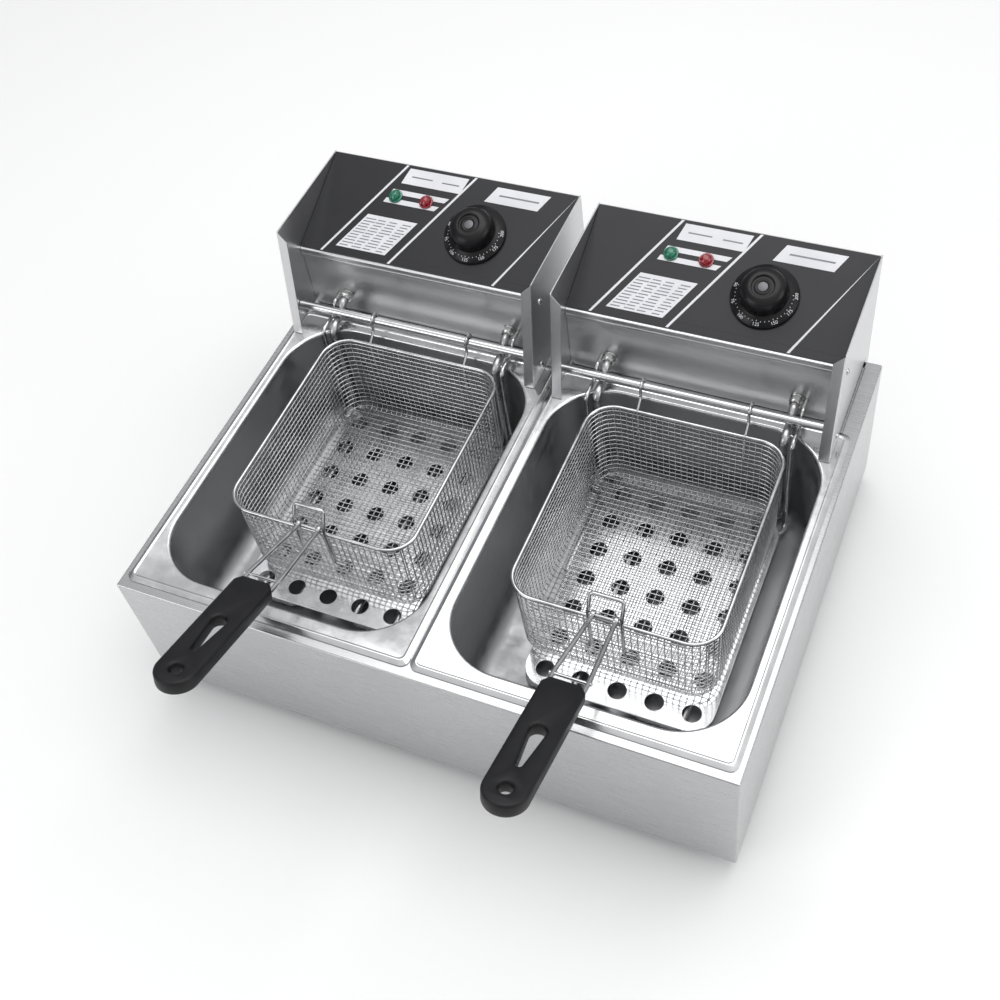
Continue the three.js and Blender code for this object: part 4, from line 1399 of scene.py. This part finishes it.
@dataclass
class Immersed:
    """The heating element, its fittings, the two sensing tubes and the plate over them.

    Attributes:
        side: which unit it belongs to.
        seat: where it is drawn.
    """

    side: str
    seat: Seat
    face_y: float = 361.7
    element_x: float = 87.0
    run_x: float = 70.0
    turn_x: float = 29.0
    front_y: float = 84.0
    drop_y: float = 322.0
    probe_x: float = 95.5
    bulb_x: float = 79.0
    out_z: float = 168.0
    over_z: float = 157.0

    def making(self, slot: str, finish: Finish) -> Making:
        """Returns how a piece joins the head it hangs from."""
        return Making(self.seat, f"{self.side}_head", slot, finish)

    def name(self, word: str) -> str:
        """Returns a name with this unit's side in front."""
        return f"{self.side}_{word}"

    def build(self) -> None:
        """Builds every piece."""
        self.element()
        self.probe("thermostat_probe", -1)
        self.probe("limit_probe", 1)
        for hand, sign in (("left", -1), ("right", 1)):
            self.fitting(hand, sign)
        self.guard()

    def riser(self, x: float, drop_y: float, floor: float) -> list[Point]:
        """Returns the way from the head's face over the tank's flange and down to its floor."""
        bend_out, bend_over = 349, 341
        route = [
            (self.face_y, self.out_z), (bend_out, self.out_z), (bend_over, self.over_z),
            (drop_y, self.over_z), (drop_y, floor),
        ]
        return [(x, y, z) for y, z in route]

    def element(self) -> None:
        """One sheathed tube that runs to and fro along the tank's floor."""
        bm = bmesh.new()
        x, run, turn, low = self.element_x, self.run_x, self.turn_x, 42.0
        front, rear = self.front_y, self.drop_y
        corners = [
            *self.riser(-x, rear, low), (-run, rear, low), (-run, front, low), (-turn, front, low),
            (-turn, 285, low), (turn, 285, low), (turn, front, low), (run, front, low), (run, rear, low),
            *reversed(self.riser(x, rear, low)),
        ]
        Wire(4.0, 16, 7.5, 6).draw(bm, corners)
        making = self.making("element_sheath", SHEATH)
        making.settle(bm, self.name("element_tube"), [self.name("heating_element")])

    def probe(self, word: str, sign: int) -> None:
        """A sensing bulb with the fine tube that leads up into the head."""
        bm = bmesh.new()
        x, inner, low = sign * self.probe_x, sign * self.bulb_x, 43.0
        drop_y, turn_y, bulb_y, half = 317, 303, 247, 45
        run = [(x, turn_y, low), (inner, turn_y, low), (inner, bulb_y + half - 5, low)]
        Wire(2.0, 12, 6.0, 6).draw(bm, [*self.riser(x, drop_y, low), *run])
        shoulder = half - 1.4
        profile = [(0, -half), (2.2, -half), (3.2, -shoulder), (3.2, shoulder), (2.2, half), (0, half)]
        lie = Matrix.Translation((inner, bulb_y, low)) @ Matrix.Rotation(math.pi / 2, 4, "X")
        lathe(bm, profile, 20, lie)
        self.making("polished_steel", PLATED).settle(bm, self.name(word + "_tube"), [self.name(word)])

    def fitting(self, hand: str, sign: int) -> None:
        """The nut, washer and collar that hold the element in the head's face."""
        bm = bmesh.new()
        place = Matrix.Translation((sign * self.element_x, self.face_y, self.out_z))
        turn = place @ Matrix.Rotation(math.pi / 2, 4, "X")
        washer = [(6.3, 0), (6.3, 1.0), (6.0, 1.3)]
        nut = [(5.8, 1.3), (6.4, 1.7), (6.4, 5.0), (5.8, 5.5)]
        collar = [(5.4, 5.5), (5.6, 6.2), (5.1, 6.6), (5.4, 7.2), (4.9, 7.7), (5.1, 8.3), (4.5, 8.6)]
        bore = 4.3
        for outside, top, sides in ((washer, 1.3, 28), (nut, 5.5, 6), (collar, None, 24)):
            foot = outside[0][1]
            inside = [(bore, foot)] if top is None else [(bore, top), (bore, foot)]
            lathe(bm, [(bore, foot), *outside, *inside], sides, turn)
        slot = self.making("plated_fitting", PLATED)
        slot.settle(bm, self.name(f"fitting_{hand}"), [self.name(f"element_nut_{hand}")], sharp=30)

    def guard(self) -> None:
        """The perforated plate over the element, with rolled holes."""
        front, rear, half, pitch = 78.0, 312.0, 86.0, 33.5
        middle = (front + rear) / 2
        spots = [(i * pitch, front + 17.5 + j * pitch) for i in range(-2, 3) for j in range(7)]
        low_z, high_z, corner, hole = 50.5, 51.7, 22, 8.2
        outline = rounded(half, (rear - front) / 2, corner, middle)
        bm = plate(outline, [circle(p, hole, 32) for p in spots], low_z, high_z, 0.45)
        low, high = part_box(self.name("guard_plate"))
        shift = (low.x + high.x) / 2 - self.seat.x
        bmesh.ops.translate(bm, verts=bm.verts[:], vec=(shift / MM, 0, 0))
        making = self.making("polished_steel", GUARD_STEEL)
        making.settle(bm, self.name("guard_sheet"), [self.name("guard_plate")], weighted=True)


# ---------------------------------------------------------------- the basket and its handle


@dataclass
class Basket:
    """A basket of crossing wires on a frame that hangs on the head's rod, and its folding handle.

    Attributes:
        side: which unit it belongs to.
        seat: where it is drawn.
        pitch: spacing of the mesh wires.
        mesh_wire: radius of the mesh wires.
        taper: how much narrower each side is at the floor.
    """

    side: str
    seat: Seat
    half_x: float = 92.5
    front: float = 101.0
    rear: float = 322.0
    rim_z: float = 150.0
    floor_z: float = 57.0
    corner: float = 27.0
    rim_wire: float = 3.5
    pitch: float = 5.6
    mesh_wire: float = 0.58
    taper: float = 1.5
    foot_bend: float = 6.5
    rise: float = 17.0
    pivot_z: float = 157.5

    def name(self, word: str) -> str:
        """Returns a name with this unit's side in front."""
        return f"{self.side}_{word}"

    def making(self, body: str, slot: str, finish: Finish) -> Making:
        """Returns how a piece joins the basket or its handle."""
        return Making(self.seat, f"{self.side}_{body}", slot, finish)

    def build(self) -> None:
        """Builds every piece."""
        self.mesh()
        self.frame_wires()
        self.handle_wires()
        self.grip()

    def half_y(self) -> float:
        """Returns half the basket's depth."""
        return (self.rear - self.front) / 2

    def middle(self) -> float:
        """Returns the middle of the basket's depth."""
        return (self.rear + self.front) / 2

    def mesh(self) -> None:
        """The woven walls and floor: wires down and under both ways, and loops round."""
        bm = bmesh.new()
        top = self.rim_z
        skin = 1.8 + self.mesh_wire
        wire = Wire(self.mesh_wire, 6, self.foot_bend, 4)
        along_x = (self.half_x - skin, self.half_y() - skin)
        self.hoops(bm, wire, along_x[0], along_x[1], top, deep=True)
        self.hoops(bm, wire, along_x[1], along_x[0], top, deep=False)
        low = self.floor_z + self.foot_bend * 0.35
        count = int((top - 3 - low) / self.pitch)
        for k in range(count + 1):
            z = low + (top - 3 - low) * k / count
            self.loop(bm, z, skin + 2 * self.mesh_wire * 0.8)
        basket = self.making("basket", "basket_wire", WIRE_STEEL)
        basket.settle(bm, self.name("basket_wires"), [self.name("basket_mesh")], sharp=80)

    def hoops(
        self, bm: Mesh, wire: Wire, half_a: float, half_b: float, top: float, deep: bool
    ) -> None:
        """Adds the wires that run down one wall, under the floor and up the other.

        Args:
            bm: the mesh.
            wire: the wire.
            half_a: half the span that they are spread over.
            half_b: half the span that they cross.
            top: where they end under the rim.
            deep: whether they cross the basket front to back.
        """
        corner = self.corner - 2.4
        reach = half_a - 6.5
        count = int(2 * reach / self.pitch)
        floor = self.floor_z + self.mesh_wire * (1.0 if deep else 2.8)
        for k in range(count + 1):
            a = -reach + 2 * reach * k / count
            over = max(0.0, abs(a) - (half_a - corner))
            b = half_b - corner + math.sqrt(max(corner**2 - over**2, 0.0))
            low_a = a * (half_a - self.taper) / half_a
            low_b = b - self.taper
            ends = [(a, -b, top), (low_a, -low_b, floor), (low_a, low_b, floor), (a, b, top)]
            if deep:
                wire.draw(bm, [(x, self.middle() + y, z) for x, y, z in ends])
            else:
                wire.draw(bm, [(y, self.middle() + x, z) for x, y, z in ends])

    def loop(self, bm: Mesh, z: float, skin: float) -> None:
        """Adds one wire round the basket at a height."""
        down = (self.rim_z - z) / (self.rim_z - self.floor_z)
        inset = skin + self.taper * down
        rise = z - self.floor_z
        if rise < self.foot_bend:
            inset += self.foot_bend - math.sqrt(self.foot_bend**2 - (self.foot_bend - rise) ** 2)
        wire = Wire(self.mesh_wire, 6, max(self.corner - inset, 6), 5)
        wire.draw(bm, self.round_trip(inset, z), closed=True)

    def round_trip(self, inset: float, z: float) -> list[Point]:
        """Returns the corners of a wire round the basket, starting and ending at the middle of its front."""
        a, b, m = self.half_x - inset, self.half_y() - inset, self.middle()
        return [(0, m - b, z), (a, m - b, z), (a, m + b, z), (-a, m + b, z), (-a, m - b, z), (0, m - b, z)]

    def frame_wires(self) -> None:
        """The rim, the hooks over the rod and the handle's bracket."""
        bm = bmesh.new()
        inset = self.rim_wire / 2
        rim = self.round_trip(inset, self.rim_z)
        Wire(inset, 14, self.corner - inset, 10).draw(bm, rim, closed=True)
        for x in (-50, 50):
            self.hook(bm, x)
        front, half, foot, top = self.front - 0.4, 14.5, 109.4, 176
        leg = [
            (25, front + 0.6, foot), (half, front, foot), (half, front, self.pivot_z),
            (half, front + 8.5, top),
        ]
        bracket = [*((-x, y, z) for x, y, z in leg), *reversed(leg)]
        Wire(1.6, 12, 3.0, 6).draw(bm, bracket)
        Wire(1.57, 12).draw(bm, [(-half, front, self.pivot_z), (half, front, self.pivot_z)])
        basket = self.making("basket", "basket_wire", WIRE_STEEL)
        basket.settle(bm, self.name("basket_rim"), [self.name("basket_frame")], sharp=60)

    def hook(self, bm: Mesh, x: float) -> None:
        """Adds a hook from the rim up and over the rod."""
        reach = 5.9
        wall = self.rear - self.rim_wire / 2
        route = [
            (wall, self.rim_z - 30), (wall, self.rim_z + 1), (ROD_Y - reach, self.rim_z + 9),
            (ROD_Y - reach, ROD_Z + reach), (ROD_Y + reach, ROD_Z + reach), (ROD_Y + reach, ROD_Z - 5),
        ]
        Wire(1.4, 12, 4.0, 6).draw(bm, [(x, y, z) for y, z in route])

    def handle_matrix(self) -> Matrix:
        """Returns the matrix of the handle, drawn along -Y from its pivot."""
        place = Matrix.Translation((0, self.front - 0.4, self.pivot_z))
        return place @ Matrix.Rotation(-math.radians(self.rise), 4, "X")

    def handle_wires(self) -> None:
        """Two wires from the pivot's eyes into the grip, with a short cross wire."""
        bm = bmesh.new()
        eye = [
            (2.1, -1.6), (2.5, -2), (3.6, -2), (4, -1.6), (4, 1.6), (3.6, 2), (2.5, 2), (2.1, 1.6),
            (2.1, -1.6),
        ]
        eye_x, grip_x = 10, 14.5
        for s in (-1, 1):
            wire = [(s * eye_x, -2.6, 0), (s * grip_x, -70, 0), (s * grip_x, -116, 0)]
            Wire(2.0, 14, 12.0, 6).draw(bm, wire)
            turn = Matrix.Translation((s * eye_x, 0, 0)) @ Matrix.Rotation(math.pi / 2, 4, "Y")
            lathe(bm, eye, 28, turn)
        Wire(1.5, 12).draw(bm, [(-17.4, -75, 0), (17.4, -75, 0)])
        bmesh.ops.transform(bm, matrix=self.handle_matrix(), verts=bm.verts[:])
        handle = self.making("handle", "basket_wire", WIRE_STEEL)
        handle.settle(bm, self.name("handle_wires"), [self.name("handle_wire")], sharp=50)

    def grip(self) -> None:
        """The moulded grip: square shoulders, a round end, a teardrop slot and a hanging hole."""
        half, near, far = 18.0, -84.0, -216.0
        end = far + half + 0.5
        outline = [
            *arc((half - 6, near - 2), 2, 90, 45, 3), *arc((half - 2, near - 7), 2, 45, 0, 3),
            *arc((0, end), half, 0, -180, 28), *arc((-half + 2, near - 7), 2, 180, 135, 3),
            *arc((-half + 6, near - 2), 2, 135, 90, 3),
        ]
        slot = [*arc((0, near - 56), 6.5, 0, 180, 14), *arc((0, near - 90), 2.5, 180, 360, 8)]
        hole = circle((0, far + half), 5.4, 28)
        bm = plate(outline, [slot, hole], -6.5, 6.5, 2.4)
        bmesh.ops.transform(bm, matrix=self.handle_matrix(), verts=bm.verts[:])
        handle = self.making("handle", "black_plastic", GRIP_BLACK)
        handle.settle(bm, self.name("grip"), [self.name("handle_grip")], sharp=60)


# ---------------------------------------------------------------- the studio


@dataclass
class Studio:
    """A pale floor, soft lights and the camera."""

    camera_place: Point = (0.3832, -0.6096, 1.0915)
    camera_turn: Point = (37.3492, 6.6354, 22.9541)
    lens: float = 48.25

    def build(self) -> None:
        """Sets up the floor, the lights and the camera."""
        bpy.context.scene.view_settings.view_transform = "Standard"
        self.camera()
        self.floor()
        self.world()
        self.softbox("overhead", (0.1, 0.5, 2.1), (0, 0.05, 0.1), (2.2, 1.4), 20)
        self.softbox("front", (-1.4, -1.9, 1.1), (0, 0, 0.1), (1.4, 1.2), 12)
        self.softbox("right", (2.2, 0.1, 0.9), (0, 0, 0.1), (1.2, 1.2), 7)

    def camera(self) -> None:
        """Puts the camera in place."""
        data = bpy.data.cameras.new("camera")
        data.lens = self.lens
        data.sensor_width = 36.0
        holder = bpy.data.objects.new("camera", data)
        holder.location = self.camera_place
        holder.rotation_euler = [math.radians(a) for a in self.camera_turn]
        bpy.context.scene.collection.objects.link(holder)
        bpy.context.scene.camera = holder

    def floor(self) -> None:
        """Lays a plain pale floor."""
        bm = bmesh.new()
        bmesh.ops.create_grid(bm, x_segments=1, y_segments=1, size=40.0)
        mesh = bpy.data.meshes.new("floor")
        bm.to_mesh(mesh)
        bm.free()
        mesh.materials.append(PAPER.material())
        floor = bpy.data.objects.new("floor", mesh)
        bpy.context.scene.collection.objects.link(floor)

    def world(self) -> None:
        """Soft light from all round, brighter from above than from the sides."""
        world = bpy.data.worlds.new("studio")
        world.use_nodes = True
        tree = world.node_tree
        tree.nodes.clear()
        place = add_node(tree, "ShaderNodeTexCoord")
        parts = add_node(tree, "ShaderNodeSeparateXYZ", inputs={"Vector": place.outputs["Generated"]})
        tilt = {0: parts.outputs["X"], 1: 0.3, 2: parts.outputs["Z"]}
        height = add_node(tree, "ShaderNodeMath", {"operation": "MULTIPLY_ADD"}, tilt)
        ramp = add_node(tree, "ShaderNodeValToRGB", inputs={"Fac": height.outputs["Value"]})
        ramp.color_ramp.elements[0].position = 0.1
        ramp.color_ramp.elements[0].color = linear("85878b")
        ramp.color_ramp.elements[1].position = 0.85
        ramp.color_ramp.elements[1].color = linear("ffffff")
        glow = {"Color": ramp.outputs["Color"], "Strength": 0.9}
        light = add_node(tree, "ShaderNodeBackground", inputs=glow)
        add_node(tree, "ShaderNodeOutputWorld", inputs={"Surface": light.outputs["Background"]})
        bpy.context.scene.world = world

    @staticmethod
    def softbox(name: str, place: Point, target: Point, size: Flat, power: float) -> None:
        """Adds one soft area light.

        Args:
            name: what it is called.
            place: where it stands.
            target: what it is turned to.
            size: its width and height in metres.
            power: in watts.
        """
        data = bpy.data.lights.new(name, "AREA")
        data.shape = "RECTANGLE"
        data.size, data.size_y = size
        data.energy = power
        holder = bpy.data.objects.new(name, data)
        holder.location = place
        aim = Vector(target) - Vector(place)
        holder.rotation_euler = aim.to_track_quat("-Z", "Y").to_euler()
        bpy.context.scene.collection.objects.link(holder)


# ---------------------------------------------------------------- the whole


def middle_x(node: str) -> float:
    """Returns the middle of a node across, in metres."""
    low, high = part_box(node)
    return (low.x + high.x) / 2


def main() -> None:
    """Builds the studio, the casing and both units, in order."""
    logging.basicConfig(level=logging.INFO, format="%(name)s %(message)s")
    back_of_head = 459.0
    Studio().build()
    low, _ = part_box("casing_shell")
    base = Seat(0.0, low.y, low.z)
    Casing(base).build()
    for side in ("left", "right"):
        Tank(side, Seat(middle_x(f"{side}_tank"), low.y, low.z)).build()
        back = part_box(f"{side}_back_cover")[1].y
        seat_y = back - back_of_head * MM
        head = Seat(middle_x(f"{side}_head_tray"), seat_y, low.z)
        Head(side, head).build()
        Immersed(side, head).build()
        Basket(side, Seat(middle_x(f"{side}_basket_frame"), seat_y, low.z)).build()
        LOG.info("%s unit done", side)


if __name__ == "__main__":
    main()
